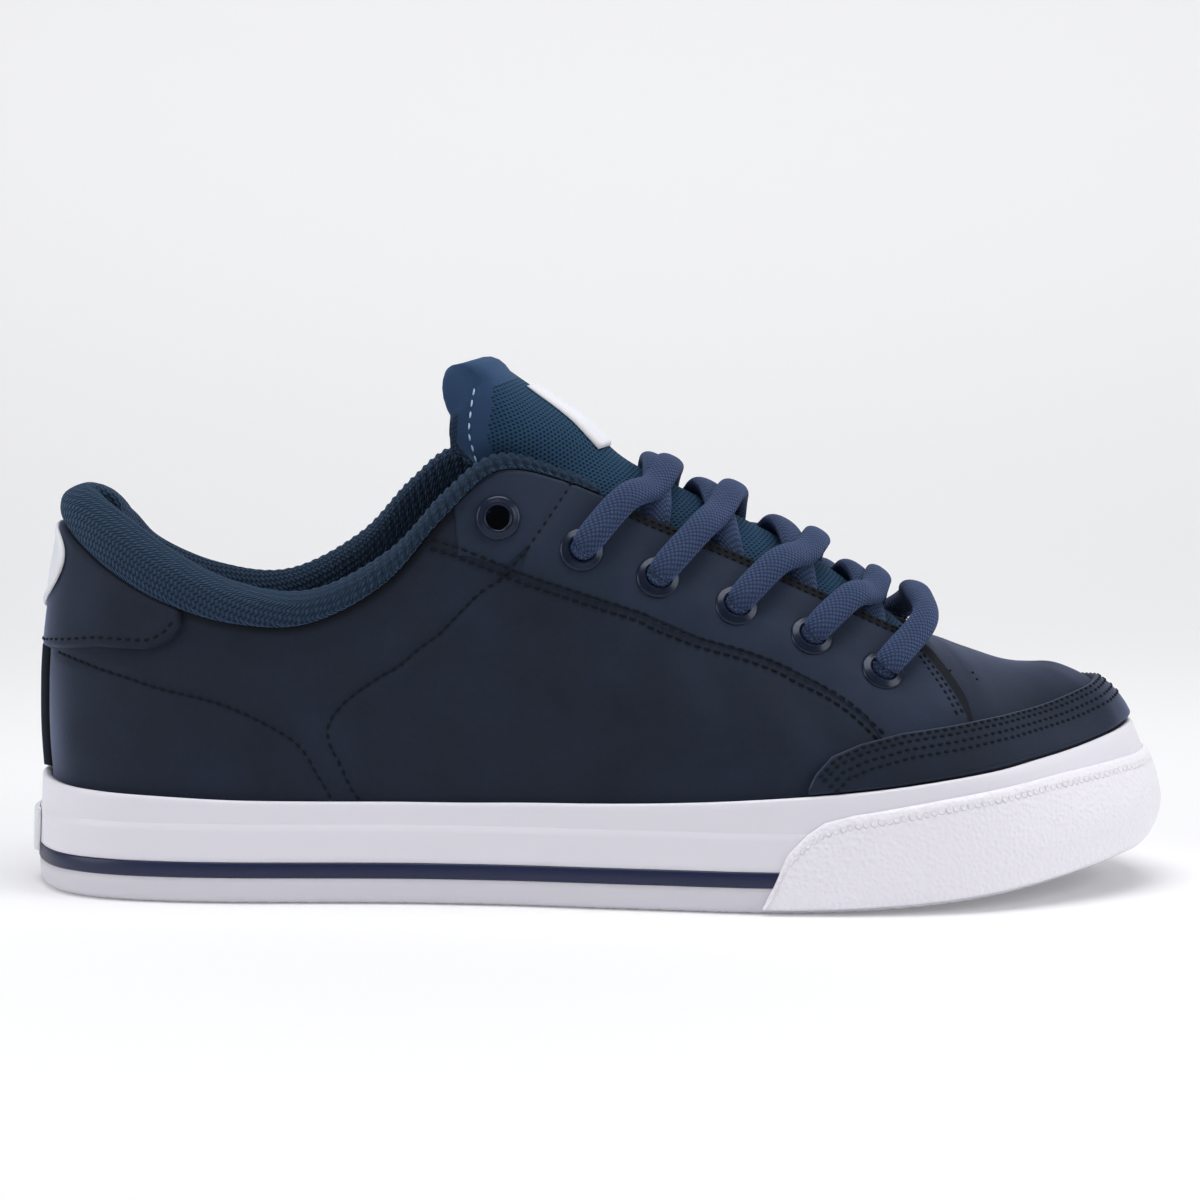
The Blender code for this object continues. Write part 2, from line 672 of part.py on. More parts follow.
# Collar
def build_collar():
    """Padded roll: over the top edge and down inside the upper."""
    mesh = bmesh.new()
    lateral = [k / 2 for k in range(1, 8)] + [4, 5, 6, 7, 7.5, 8, 8.5, 9, 9.5, 10, COLLAR_END]
    places = [LOOP - u for u in lateral[::-1]] + [LOOP] + [LOOP + u for u in lateral]
    rings = []
    for u in places:
        row = around(u)
        width, crest = row[8], row[9]
        k = abs(u - LOOP)
        depth = COLLAR_DEPTH * (1 - 0.72 * smooth(7.5, 9.5, k))
        top = upper_point(u, 1)
        normal = upper_normal(u, 1)
        out = Vector((normal.x, normal.y, 0)).normalized()
        run = (top - upper_point(u, 0)).length
        deep = 1 - depth / run
        mid = 1 - depth / run / 2
        inside = WALL + CURVED_GAP * 1.4
        rings.append([
            top + UP * CURVED_GAP * 1.4,
            top + out * width * 0.12 + UP * crest * 0.32,
            top + out * width * 0.06 + UP * crest * 0.70,
            top - out * width * 0.32 + UP * crest,
            top - out * width * 0.72 + UP * crest * 0.84,
            top - out * width + UP * crest * 0.30,
            upper_off(u, mid, -max(width * 0.98, inside * 1.3)),
            upper_off(u, deep, -max(width * 0.65, inside * 1.2)),
            upper_off(u, deep, -inside),
            upper_off(u, 1, -inside) + UP * CURVED_GAP * 2,
        ])
    verts = add_grid(mesh, rings, closed_columns=True)
    mesh.faces.new(verts[0])
    mesh.faces.new(verts[-1])
    return finish("collar", mesh, KNIT, 0.9)


# Tongue
TONGUE_ROWS = [np.array(row) for row in TONGUE]
TONGUE_SPREAD = radians(84)


def free_end(j):
    """1 on the tongue's free end, 0 where it lies under the flaps."""
    return 1 - smooth(1.5, 4.0, j)


def tongue_point(j, turn):
    """Tongue's upper face at a section and a turn from its crown."""
    row = through(TONGUE_ROWS, j, False)
    drop = 1 - cos(turn)
    x = (row[0] + (row[2] - row[0]) * drop) * LENGTH - HEEL_SEAT
    y = 0.5 * row[4] * TONGUE_WIDTH * sin(turn)
    z = (row[1] + (row[3] - row[1]) * drop) * TONGUE_HEIGHT
    return Vector((x - TONGUE_TWIST * y * free_end(j), y, z))


def tongue_normal(j, turn):
    step = 0.02
    run = tongue_point(j + step, turn) - tongue_point(j - step, turn)
    across = tongue_point(j, turn + step) - tongue_point(j, turn - step)
    return run.cross(across).normalized()


def tongue_off(j, turn, offset):
    return tongue_point(j, turn) + tongue_normal(j, turn) * offset


def over_tongue(x, y, lift):
    """Point at a height over the tongue's upper face, above a place."""
    def turn_at(j):
        half = 0.5 * through(TONGUE_ROWS, j, False)[4] * TONGUE_WIDTH
        return asin(max(-0.98, min(0.98, y / half)))
    j = solve(0.5, len(TONGUE) - 1.0, lambda k: tongue_point(k, turn_at(k)).x < x)
    return tongue_off(j, turn_at(j), lift)


def build_tongue():
    mesh = bmesh.new()
    turns = span(-TONGUE_SPREAD, TONGUE_SPREAD, 10)
    rings = []
    sections = [0, 0.25] + span(0.6, len(TONGUE) - 1, 12)
    for j in sections:
        thick = through(TONGUE_ROWS, j, False)[5] * TONGUE_THICKNESS
        thick *= 0.55 + 0.45 * smooth(0, 0.5, j)
        upper = [tongue_off(j, turn, -0.12 * thick * abs(turn / TONGUE_SPREAD) ** 4)
                 for turn in turns]
        lower = []
        for turn in turns[::-1]:
            thin = 1 - 0.45 * abs(turn / TONGUE_SPREAD) ** 3
            thin = max(thin, free_end(j) * 0.9)
            facing = tongue_normal(j, turn * (1 - 0.5 * free_end(j)))
            lower.append(tongue_point(j, turn * 0.97) - facing * thick * thin)
        rings.append(upper + lower)
    verts = add_grid(mesh, rings, closed_columns=True)
    for ring in (verts[0], verts[-1]):
        half = len(ring) // 2
        for i in range(half - 1):
            mesh.faces.new((ring[i], ring[i + 1], ring[-(i + 2)], ring[-(i + 1)]))
    return finish("tongue", mesh, KNIT, 0.9)


def build_tongue_label():
    grids = []
    for offset in (CURVED_GAP, CURVED_GAP + LABEL_THICKNESS):
        grids.append([[tongue_off(j, turn, offset) for turn in span(-0.42, 0.42, 4)]
                      for j in span(0.85, 2.75, 6)])
    mesh = bmesh.new()
    shell_patch(mesh, *grids)
    return finish("tongue_label", mesh, WHITE, 0.6)


# Eyelets
def eyelet_seats():
    """Centre and outward normal of each eyelet, lateral then medial, from the ankle."""
    seats = []
    for along, up in EYELETS:
        u, s = locate(along, up)
        seats.append([(upper_point(v, s), upper_normal(v, s)) for v in (u, LOOP - u)])
    return seats


def along_normal(centre, normal):
    """Placement that turns +Z to the normal."""
    return Matrix.Translation(centre) @ UP.rotation_difference(normal).to_matrix().to_4x4()


def build_eyelet_cutter(seats):
    mesh = bmesh.new()
    radius = EYELET_HOLE + EYELET_BARREL + GAP
    for pair in seats:
        for centre, normal in pair:
            bmesh.ops.create_cone(mesh, cap_ends=True, segments=12, radius1=radius,
                                  radius2=radius, depth=HOLE_CUT,
                                  matrix=along_normal(centre, normal))
    cutter = finish("eyelet_cutter", mesh, INK, 0.5, group=CUTTERS)
    cutter.hide_render = True
    cutter.display_type = "WIRE"
    return cutter


def build_eyelets(seats):
    """Turned ring with a barrel through the eyestay and the upper."""
    seat = EYESTAY_GAP + OVERLAY + GAP
    barrel = EYELET_HOLE + EYELET_BARREL
    crown = (EYELET_HOLE + EYELET_FLANGE) / 2 - EYELET_BARREL
    profile = [(EYELET_HOLE, -WALL), (crown, seat + EYELET_RIM), (EYELET_FLANGE, seat),
               (barrel, seat), (barrel, -WALL)]
    segments = 10
    for number, pair in enumerate(seats, 1):
        for side, (centre, normal) in zip(("lateral", "medial"), pair):
            mesh = bmesh.new()
            rings = []
            for i in range(segments):
                turn = 2 * pi * i / segments
                rings.append([(r * cos(turn), r * sin(turn), z) for r, z in profile])
            add_grid(mesh, rings, closed_rows=True, closed_columns=True)
            ring = finish(f"eyelet_{side}_{number}", mesh, INK, 0.3, 0.4)
            ring.matrix_world = along_normal(centre, normal)


# Lace
LACE_REST = EYESTAY_GAP + OVERLAY + GAP + EYELET_RIM + LACE_THICKNESS / 2 + CURVED_GAP


def lace_strand(points, count):
    """Flat oval cord through points, its flat side towards the tongue."""
    rows = [np.array(point) for point in points]
    last = len(rows) - 1
    mesh = bmesh.new()
    rings = []
    for place in span(0, last, count):
        centre = Vector(through(rows, place, False))
        ahead = Vector(through(rows, min(place + 0.05, last), False))
        behind = Vector(through(rows, max(place - 0.05, 0), False))
        run = (ahead - behind).normalized()
        flat = run.cross(UP).normalized()
        over = flat.cross(run).normalized()
        ring = []
        for i in range(6):
            turn = 2 * pi * i / 6
            ring.append(centre + flat * cos(turn) * LACE_WIDTH / 2
                        + over * sin(turn) * LACE_THICKNESS / 2)
        rings.append(ring)
    verts = add_grid(mesh, rings, closed_columns=True)
    mesh.faces.new(verts[0])
    mesh.faces.new(verts[-1])
    return mesh


def over_edge(x, side):
    """Point where a lace bends over the throat's edge."""
    u = solve(8.0, 15.0, lambda v: upper_point(v, 1).x < x)
    return upper_off(u if side < 0 else LOOP - u, 1, LACE_REST) + UP * CURVED_GAP


def strand_points(seats, row, side, lift):
    """Route of one strand: from an eyelet over the tongue to the far flap."""
    near = 0 if side < 0 else 1
    centre, normal = seats[row][near]
    across, _ = seats[row + 1][1 - near]
    first = over_edge(centre.x + LACE_AHEAD, side)
    half = TONGUE_WIDTH / 2
    points = [centre + normal * (LACE_REST + CURVED_GAP * 2), first]
    for share in (-0.50, -0.20, 0.10, 0.38, 0.62):
        x = first.x + (across.x - first.x) * (share + 1) / 2
        height = CURVED_GAP * 1.5 + LACE_THICKNESS / 2 + lift * (1 - share * share)
        points.append(over_tongue(x, -side * half * share, height))
    return points


def build_crossing(seats, row):
    """Two strands crossing over the tongue, joined where they touch."""
    over = finish(f"lace_cross_{row}", lace_strand(
        strand_points(seats, row, -1, LACE_THICKNESS * 0.90), 9), CORD, 0.85)
    under = finish(f"lace_under_{row}", lace_strand(
        strand_points(seats, row, 1, LACE_THICKNESS * 0.15), 9), CORD, 0.85, group=CUTTERS)
    under.hide_render = True
    under.display_type = "WIRE"
    join = over.modifiers.new("join", "BOOLEAN")
    join.operation = "UNION"
    join.solver = "EXACT"
    join.object = under


def build_bar(seats):
    """Straight bar of lace across the last row of eyelets."""
    points = [seats[-1][0][0] + seats[-1][0][1] * (LACE_REST + CURVED_GAP * 2)]
    points.append(over_edge(points[0].x + BAR_AHEAD, -1))
    crown = points[1] + UP * BAR_RISE
    points += [Vector((crown.x + BAR_REACH, y, crown.z)) for y in (-BAR_HALF, BAR_HALF)]
    points += [Vector((point.x, -point.y, point.z)) for point in points[1::-1]]
    finish("lace_bar", lace_strand(points, 14), CORD, 0.85)


build_outsole()
build_stripe()
build_cup()
build_bumper()
build_heel_label()
build_insole()
SEATS = eyelet_seats()
CUTTER = build_eyelet_cutter(SEATS)
build_upper(CUTTER)
build_toe_cap()
build_heel_patch()
build_back_strip()
build_eyestay("eyestay_lateral", -1, CUTTER)
build_eyestay("eyestay_medial", 1, CUTTER)
build_badge()
build_collar()
build_tongue()
build_tongue_label()
build_eyelets(SEATS)
for ROW in range(1, 5):
    build_crossing(SEATS, ROW)
build_bar(SEATS)
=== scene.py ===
# %% [markdown]
# # A low skateboarding shoe
# The frame comes first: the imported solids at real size, toe along +X, the outer side of this
# right shoe towards -Y. Every piece made below lies on the same last as those solids, so the
# two agree, and each one says which solids it stands for.

# %% The frame and its size
import math
from functools import partial

import bpy
import numpy as np
from mathutils import Matrix, Vector


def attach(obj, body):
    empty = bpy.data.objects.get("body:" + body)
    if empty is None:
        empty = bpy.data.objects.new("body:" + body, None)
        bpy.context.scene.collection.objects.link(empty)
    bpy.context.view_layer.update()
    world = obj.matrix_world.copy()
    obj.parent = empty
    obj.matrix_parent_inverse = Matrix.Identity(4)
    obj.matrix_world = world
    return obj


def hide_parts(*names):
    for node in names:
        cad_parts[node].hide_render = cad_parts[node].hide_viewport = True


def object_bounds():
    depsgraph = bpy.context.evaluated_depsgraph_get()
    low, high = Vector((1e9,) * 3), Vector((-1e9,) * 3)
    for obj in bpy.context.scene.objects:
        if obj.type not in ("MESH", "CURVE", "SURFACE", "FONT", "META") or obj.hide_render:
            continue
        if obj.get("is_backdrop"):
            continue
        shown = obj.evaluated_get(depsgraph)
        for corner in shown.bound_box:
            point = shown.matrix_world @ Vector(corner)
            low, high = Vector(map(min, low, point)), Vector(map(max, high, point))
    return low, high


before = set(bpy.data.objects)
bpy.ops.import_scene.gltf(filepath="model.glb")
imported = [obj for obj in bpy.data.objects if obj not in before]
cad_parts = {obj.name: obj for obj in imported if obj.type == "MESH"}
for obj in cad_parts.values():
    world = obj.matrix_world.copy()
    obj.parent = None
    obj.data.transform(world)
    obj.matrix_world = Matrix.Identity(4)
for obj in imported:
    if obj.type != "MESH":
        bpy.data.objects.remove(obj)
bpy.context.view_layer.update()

# %% [markdown]
# ## The last
# A shoe is drawn over a last, so one table of stations describes everything: the sole's
# outline, the top line of its wall, and the edge where the upper ends. A smooth curve through
# the rows gives any place round the shoe: u is 0 at the heel, 21 at the toe on the outer
# side, and 42 back at the heel on the inner side. Such shapes could be sculpted, but a table
# keeps the skin, the overlays and the stitches exactly on one another.

# %% Sizes
LENGTH = 0.291
BALL_WIDTH = 0.1080
HEEL_WIDTH = 0.0808
HEEL_HEIGHT = 0.0940
INSTEP_HEIGHT = 0.1074
HEEL_SEAT = 0.0450
TOE_SPRING = 0.0100
FOXING_HEIGHT = 0.0257
FOXING_TOP_INSET = 0.0028
COLLAR_ROLL = 0.0100
COLLAR_RISE = 0.0098
COLLAR_DEPTH = 0.0150
MEDIAL_COLLAR_BACK = 0.0115
WALL = 0.0020
MM = 0.001
print("outline", LENGTH, "by", BALL_WIDTH)

# %% [markdown]
# ## The stations
# Each row is one place along one half of the shoe, with its widths and heights as shares of
# the sizes above. The last four columns are the angles at which the skin leaves the sole and
# meets its top edge, and the width and rise of the collar's roll there.

# %% Stations
# along, lateral, medial, foxing, top_along, top_out, top_up, rise, lean, roll, crest
STATIONS = [
    (0.000, 0.000, 0.000, 1.113, 0.033, 0.000, 1.000, 5, 12, 1.30, 0.90),
    (0.009, 0.359, 0.359, 1.101, 0.036, 0.175, 0.985, 5, 14, 1.05, 1.00),
    (0.034, 0.668, 0.656, 1.082, 0.052, 0.345, 0.935, 4, 14, 0.95, 1.35),
    (0.076, 0.861, 0.842, 1.058, 0.085, 0.540, 0.860, 3, 12, 1.00, 1.50),
    (0.131, 0.960, 0.928, 1.035, 0.131, 0.695, 0.788, 2, 10, 1.10, 1.35),
    (0.192, 0.998, 0.948, 1.008, 0.189, 0.782, 0.738, 1, 8, 1.05, 1.05),
    (0.261, 1.003, 0.936, 1.000, 0.254, 0.817, 0.721, 0, 8, 0.90, 0.85),
    (0.326, 1.010, 0.923, 1.000, 0.320, 0.817, 0.775, 0, 8, 0.80, 0.80),
    (0.385, 1.010, 0.913, 1.000, 0.369, 0.778, 0.898, 0, 8, 0.65, 0.65),
    (0.440, 0.983, 0.893, 1.012, 0.416, 0.654, 1.000, 0, 12, 0.48, 0.42),
    (0.502, 0.960, 0.880, 1.023, 0.474, 0.519, 0.973, 0, 22, 0.42, 0.28),
    (0.564, 0.950, 0.893, 1.047, 0.543, 0.447, 0.890, 0, 30, 0.40, 0.20),
    (0.625, 0.978, 0.941, 1.089, 0.619, 0.426, 0.805, -1, 36, 0.40, 0.20),
    (0.687, 1.000, 0.985, 1.140, 0.694, 0.426, 0.712, -3, 44, 0.40, 0.20),
    (0.742, 0.994, 0.996, 1.198, 0.759, 0.407, 0.628, -8, 54, 0.40, 0.20),
    (0.797, 0.952, 0.959, 1.276, 0.789, 0.222, 0.600, -14, 74, 0.40, 0.20),
    (0.845, 0.870, 0.893, 1.346, 0.797, 0.000, 0.588, -20, 86, 0.40, 0.20),
    (0.880, 0.775, 0.808, 1.412, 0.820, 0.000, 0.565, -24, 86, 0.40, 0.20),
    (0.917, 0.650, 0.690, 1.479, 0.842, 0.000, 0.549, -25, 84, 0.40, 0.20),
    (0.953, 0.495, 0.532, 1.556, 0.863, 0.000, 0.535, -25, 82, 0.40, 0.20),
    (0.983, 0.305, 0.332, 1.626, 0.880, 0.000, 0.525, -25, 80, 0.40, 0.20),
    (1.000, 0.000, 0.000, 1.658, 0.893, 0.000, 0.519, -25, 79, 0.40, 0.20),
]
TIP = len(STATIONS) - 1
LOOP = 2 * TIP
THROAT_END = 16
COLLAR_END = 10.5


def smooth(low, high, value):
    """Rises from 0 to 1 between low and high without a corner."""
    share = np.clip((np.asarray(value, float) - low) / (high - low), 0, 1)
    return share * share * (3 - 2 * share)


def station_row(row, side):
    """One station in metres and degrees, on the outer (-1) or inner (1) side."""
    half = 0.5 * (HEEL_WIDTH + (BALL_WIDTH - HEEL_WIDTH) * smooth(0.33, 0.62, row[0]))
    tall = HEEL_HEIGHT + (INSTEP_HEIGHT - HEEL_HEIGHT) * smooth(0.20, 0.40, row[4])
    width = row[1] if side < 0 else row[2]
    back = smooth(0.03, 0.13, row[4]) * (1 - smooth(0.40, 0.52, row[4])) * (side > 0)
    return [row[0] * LENGTH - HEEL_SEAT, side * width * half, row[3] * FOXING_HEIGHT,
            row[4] * LENGTH - HEEL_SEAT - MEDIAL_COLLAR_BACK * back, side * row[5] * half, row[6] * tall,
            row[7], row[8], row[9] * COLLAR_ROLL, row[10] * COLLAR_RISE]


AROUND = np.array([station_row(row, -1) for row in STATIONS]
                  + [station_row(row, 1) for row in STATIONS[-2:0:-1]])
print("stations", AROUND.shape)

# %% [markdown]
# ## Reading a place on the last
# The sole's wall is a curve pushed inwards a little with its height. The upper is a column
# of cubic curves, one at each u, that leaves the sole at one angle and meets the collar, the
# throat or the ridge of the vamp at another. s is 0 at the sole and 1 at the top edge.

# %% Curves of the last


def between(rows, place, closed):
    """Smooth curve through rows, read at fractional row numbers."""
    place = np.asarray(place, float)
    count = len(rows)
    low = np.floor(place).astype(int)
    if closed:
        share = (place - low)[..., None]
        a, b, c, d = (rows[(low + step) % count] for step in (-1, 0, 1, 2))
    else:
        low = np.clip(low, 0, count - 2)
        share = (place - low)[..., None]
        padded = np.concatenate([[2 * rows[0] - rows[1]], rows, [2 * rows[-1] - rows[-2]]])
        a, b, c, d = (padded[low + step] for step in (0, 1, 2, 3))
    return 0.5 * (2 * b + (c - a) * share + (2 * a - 5 * b + 4 * c - d) * share ** 2
                  + (3 * b - a - 3 * c + d) * share ** 3)


def around(u):
    """The station row at any place round the shoe."""
    return between(AROUND, u, True)


def unit(vectors):
    """The same vectors at length 1."""
    return vectors / np.maximum(np.linalg.norm(vectors, axis=-1, keepdims=True), 1e-12)


def along_of(x):
    """Share of the length, from the back of the heel."""
    return (x + HEEL_SEAT) / LENGTH


def spring(x):
    """Height of the sole's underside: flat, then rising to the toe."""
    return TOE_SPRING * np.maximum(0, (along_of(x) - 0.65) / 0.35) ** 1.8


def outward(u):
    """Level direction straight out of the sole's outline."""
    run = (around(u + 0.01) - around(u - 0.01))[..., :2]
    return unit(np.stack([run[..., 1], -run[..., 0], 0 * run[..., 0]], -1))


def sole_points(u, z, inset):
    """Points of the sole's wall at a height above its underside, moved inwards."""
    u, z, inset = np.broadcast_arrays(*(np.asarray(v, float) for v in (u, z, inset)))
    row = around(u)
    share = z / (row[..., 2] - spring(row[..., 0]))
    toe = smooth(0.80, 1.0, along_of(row[..., 0]))
    under = np.maximum(0, 1 - share / 0.35) ** 2
    over = np.maximum(0, (share - 0.35) / 0.65) ** 1.5
    side = 0.0012 * share + 0.0006 * under
    wall = side * (1 - toe) + (0.0045 * under + 0.0060 * over) * toe
    place = np.stack([row[..., 0], row[..., 1], 0 * z], -1)
    place = place - outward(u) * (wall + inset)[..., None]
    place[..., 2] = spring(place[..., 0]) + z
    return place


print("wall at the toe", np.round(sole_points(TIP, 0.02, 0), 4))

# %% [markdown]
# ## The upper's curve
# At each place the skin is one cubic curve from the sole's top line to the top edge. Its two
# inner control points set how it bulges over the ankle and lies flat on the vamp.

# %% Upper's curve


def wall_top(u):
    """Height of the sole's top line above its underside."""
    row = around(np.asarray(u, float))
    return row[..., 2] - spring(row[..., 0])


def upper_points(u, s):
    """The upper's outer face."""
    u, s = np.broadcast_arrays(*(np.asarray(v, float) for v in (u, s)))
    row = around(u)
    foot = sole_points(u, wall_top(u), FOXING_TOP_INSET)
    top = row[..., 3:6].copy()
    top[..., 1] *= np.abs((u + TIP) % LOOP - TIP) < THROAT_END
    out = outward(u)
    inward = unit((top - foot) * [1, 1, 0])
    reach = np.linalg.norm(top - foot, axis=-1, keepdims=True)
    rise, lean = (np.radians(row[..., k])[..., None] for k in (6, 7))
    upright = np.array([0, 0, 1.0])
    a = foot + (upright * np.cos(rise) + out * np.sin(rise)) * reach * 0.33
    b = top - (upright * np.cos(lean) + inward * np.sin(lean)) * reach * 0.38
    s = s[..., None]
    r = 1 - s
    return foot * r ** 3 + a * 3 * r * r * s + b * 3 * r * s * s + top * s ** 3


def upper_normals(u, s):
    """Directions straight out of the upper's outer face."""
    run = upper_points(u + 0.02, s) - upper_points(u - 0.02, s)
    climb = upper_points(u, np.minimum(s + 0.02, 1)) - upper_points(u, np.maximum(s - 0.02, 0))
    return unit(np.cross(run, climb))


print("toe", np.round(upper_points(np.array([21.0]), np.array([0.5])) * 1000, 1))

# %% [markdown]
# ## Creases and seams of the skin
# A sewn upper isn't a smooth shell. Where panels overlap the skin steps, where it is sewn it
# pulls in, and where the foot bends it keeps soft troughs. Each is a line in the side view,
# in millimetres from the back of the heel, with a depth and a width, and both sides get it.

# %% Lines and relief
SEAM_A = [(8.4, 60.3), (16, 58.6), (23.2, 56.7), (28.6, 55.4), (36.4, 53.2), (44, 51.6),
          (51.6, 49.7), (59.1, 46.7), (64.1, 44.2), (69.1, 41.3), (72.9, 37.6), (75.4, 33.1),
          (79.1, 26.9)]
SEAM_B = [(138.8, 103.5), (136.3, 99.7), (133.3, 95.3), (130.1, 90.7), (126.9, 86.4),
          (122.2, 81), (116.4, 77.3), (111.5, 72.4), (106.6, 67.3), (101.6, 63.6),
          (96.7, 59.4), (91.7, 56.5), (86.7, 53.2), (83, 50.2), (79.8, 46.5), (78.7, 43.2),
          (79.2, 39.5), (81.2, 35.8), (82.9, 31.9), (84.7, 28.2), (86.2, 26.4)]
EYESTAY = [(105.6, 90.1), (111.4, 88.4), (116.4, 86.4), (121.4, 84.4), (126.4, 82.2),
           (131.4, 80.7), (136.4, 79), (146.4, 75.7), (156.4, 72.5), (161.3, 70.1),
           (171.2, 66.5), (181.1, 63.5), (190.9, 60.1), (195.8, 57.5), (200.7, 55.1),
           (205.6, 52.3), (210.5, 48.7), (215.3, 44.3)]
# line, depth in mm (a trough is positive), half width in mm
CREASES = [
    (SEAM_A, 0.25, 1.1),
    (SEAM_B, 0.28, 1.1),
    (EYESTAY, 0.12, 1.6),
    ([(170, 64), (178, 52), (182, 40), (183, 30)], 0.55, 6.0),
    ([(190, 58), (199, 47), (203, 42)], 0.40, 4.0),
    ([(150, 30), (166, 36), (180, 33)], 0.35, 6.0),
    ([(96, 56), (110, 50), (126, 49)], -0.35, 8.0),
    ([(30, 69), (52, 62), (74, 62), (96, 70)], 0.55, 5.0),
    ([(14, 40), (24, 34), (40, 33)], -0.35, 6.0),
    ([(118, 76), (128, 70), (142, 64)], 0.30, 5.0),
    ([(266, 57), (276, 54), (283, 47.5), (287, 43)], -1.7, 7.5),
]


def distance_to(line, x, z):
    """Distance in the side view from points to a line of points, in millimetres."""
    best = np.full(x.shape, 1e9)
    for (x0, z0), (x1, z1) in zip(line, line[1:]):
        dx, dz = x1 - x0, z1 - z0
        share = np.clip(((x - x0) * dx + (z - z0) * dz) / (dx * dx + dz * dz), 0, 1)
        best = np.minimum(best, np.hypot(x - x0 - dx * share, z - z0 - dz * share))
    return best


# a trough has a low swell beside it, a share of its depth high, at this many half widths
SWELL_SHARE = 0.45
SWELL_AWAY = 1.9


def relief(points):
    """How far the skin stands off the last: seams pull in, creases roll softly."""
    x = (points[..., 0] + HEEL_SEAT) * 1000
    z = points[..., 2] * 1000
    raised = np.zeros(x.shape)
    for line, depth, width in CREASES:
        away = distance_to(line, x, z) / width
        raised -= depth * (np.exp(-away ** 2) - SWELL_SHARE * np.exp(-(away - SWELL_AWAY) ** 2))
    return raised * MM


print("crease lines", len(CREASES))

# %% [markdown]
# ## Places and paths on the skin
# Seams are given as the photo shows them, in the side view. To sew along one, its points are
# found on the skin, and a second row beside it is found by stepping sideways on the skin.

# %% Places and paths


def skin(u, s, offset=0.0):
    """Points at a distance outside the creased skin."""
    u, s = np.broadcast_arrays(*(np.asarray(v, float) for v in (u, s)))
    points = upper_points(u, s)
    off = np.asarray(offset, float) + relief(points)
    return points + upper_normals(u, s) * off[..., None]


def bisect(low, high, below, shape):
    """Places between low and high where below() turns false, for a whole array."""
    low, high = np.full(shape, float(low)), np.full(shape, float(high))
    for _ in range(20):
        middle = (low + high) / 2
        under = below(middle)
        low, high = np.where(under, middle, low), np.where(under, high, middle)
    return (low + high) / 2


def share_at_height(u, z):
    """Share at which each column reaches a height."""
    return bisect(0, 1, lambda s: upper_points(u, s)[..., 2] < z, np.shape(u))


def locate(line):
    """Columns and shares of the outer side at points of the side view, in millimetres."""
    x, z = (np.array(v) * MM for v in zip(*line))
    x = x - HEEL_SEAT
    u = bisect(0.3, 17.5, lambda v: upper_points(v, share_at_height(v, z))[..., 0] < x, x.shape)
    return u, share_at_height(u, z)


def project(points, u, s):
    """Columns and shares whose place on the upper is nearest to points."""
    for _ in range(6):
        gap = points - upper_points(u, s)
        du = (upper_points(u + 0.01, s) - upper_points(u - 0.01, s)) / 0.02
        ds = (upper_points(u, s + 0.002) - upper_points(u, s - 0.002)) / 0.004
        a, b, c = (np.sum(p * q, -1) for p, q in ((du, du), (du, ds), (ds, ds)))
        e, f = np.sum(gap * du, -1), np.sum(gap * ds, -1)
        det = np.maximum(a * c - b * b, 1e-16)
        u = u + np.clip((e * c - f * b) / det, -0.5, 0.5)
        s = np.clip(s + np.clip((f * a - e * b) / det, -0.1, 0.1), 0.002, 0.998)
    return u, s


def resample(u, s, step):
    """The same path at even steps of real length."""
    fine = np.linspace(0, len(u) - 1, len(u) * 12)
    path = between(np.stack([u, s], -1), fine, False)
    u, s = path[:, 0], path[:, 1]
    points = upper_points(u, s)
    length = np.concatenate([[0], np.cumsum(np.linalg.norm(np.diff(points, axis=0), axis=1))])
    count = max(2, int(round(length[-1] / step)) + 1)
    even = np.linspace(0, length[-1], count)
    return np.interp(even, length, u), np.interp(even, length, s)


def beside(u, s, distance):
    """A path on the skin at a distance to the left of another one, seen from outside."""
    points = upper_points(u, s)
    ahead = unit(np.gradient(points, axis=0))
    left = np.cross(upper_normals(u, s), ahead)
    return project(points + left * distance, u, s)


def other_side(u):
    """The same place on the other side of the shoe."""
    return LOOP - u


print("seam A starts at", [np.round(v[0], 3) for v in locate(SEAM_A)])

# %% [markdown]
# ## Meshes from grids
# Each skin, tape or thread is a grid of points with its own map, whose numbers are real
# millimetres along and across it. A weave or a stitch in a material then keeps its true size.
# A box shaped by hand with extrude and bevel would do for a plain part, but not for skins
# that have to lie within a tenth of a millimetre of one another on a curved last.

# %% Mesh helpers


def mesh_object(name, points, faces, maps, materials, slots=None, shade=None):
    """A smooth object from arrays, with a map in millimetres and an optional shade."""
    data = bpy.data.meshes.new(name)
    data.from_pydata(points.reshape(-1, 3).tolist(), [], faces.tolist())
    layer = data.uv_layers.new(name="map")
    corners = np.empty(len(data.loops), int)
    data.loops.foreach_get("vertex_index", corners)
    layer.data.foreach_set("uv", maps.reshape(-1, 2)[corners].ravel().astype(np.float32))
    if shade is not None:
        values = data.attributes.new("shade", "FLOAT", "POINT")
        values.data.foreach_set("value", np.asarray(shade, np.float32).ravel())
    data.shade_smooth()
    for material in materials:
        data.materials.append(material)
    if slots is not None:
        data.polygons.foreach_set("material_index", np.asarray(slots, np.int32).ravel())
    piece = bpy.data.objects.new(name, data)
    bpy.context.scene.collection.objects.link(piece)
    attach(piece, "root")
    return piece


def grid_faces(rows, columns, close_columns=False):
    """Quads of a grid, in the order of its rows."""
    c = np.arange(columns if close_columns else columns - 1)
    r, c = np.meshgrid(np.arange(rows - 1), c, indexing="ij")
    r2, c2 = r + 1, (c + 1) % columns
    quads = np.stack([r * columns + c, r * columns + c2, r2 * columns + c2, r2 * columns + c], -1)
    return quads.reshape(-1, 4)


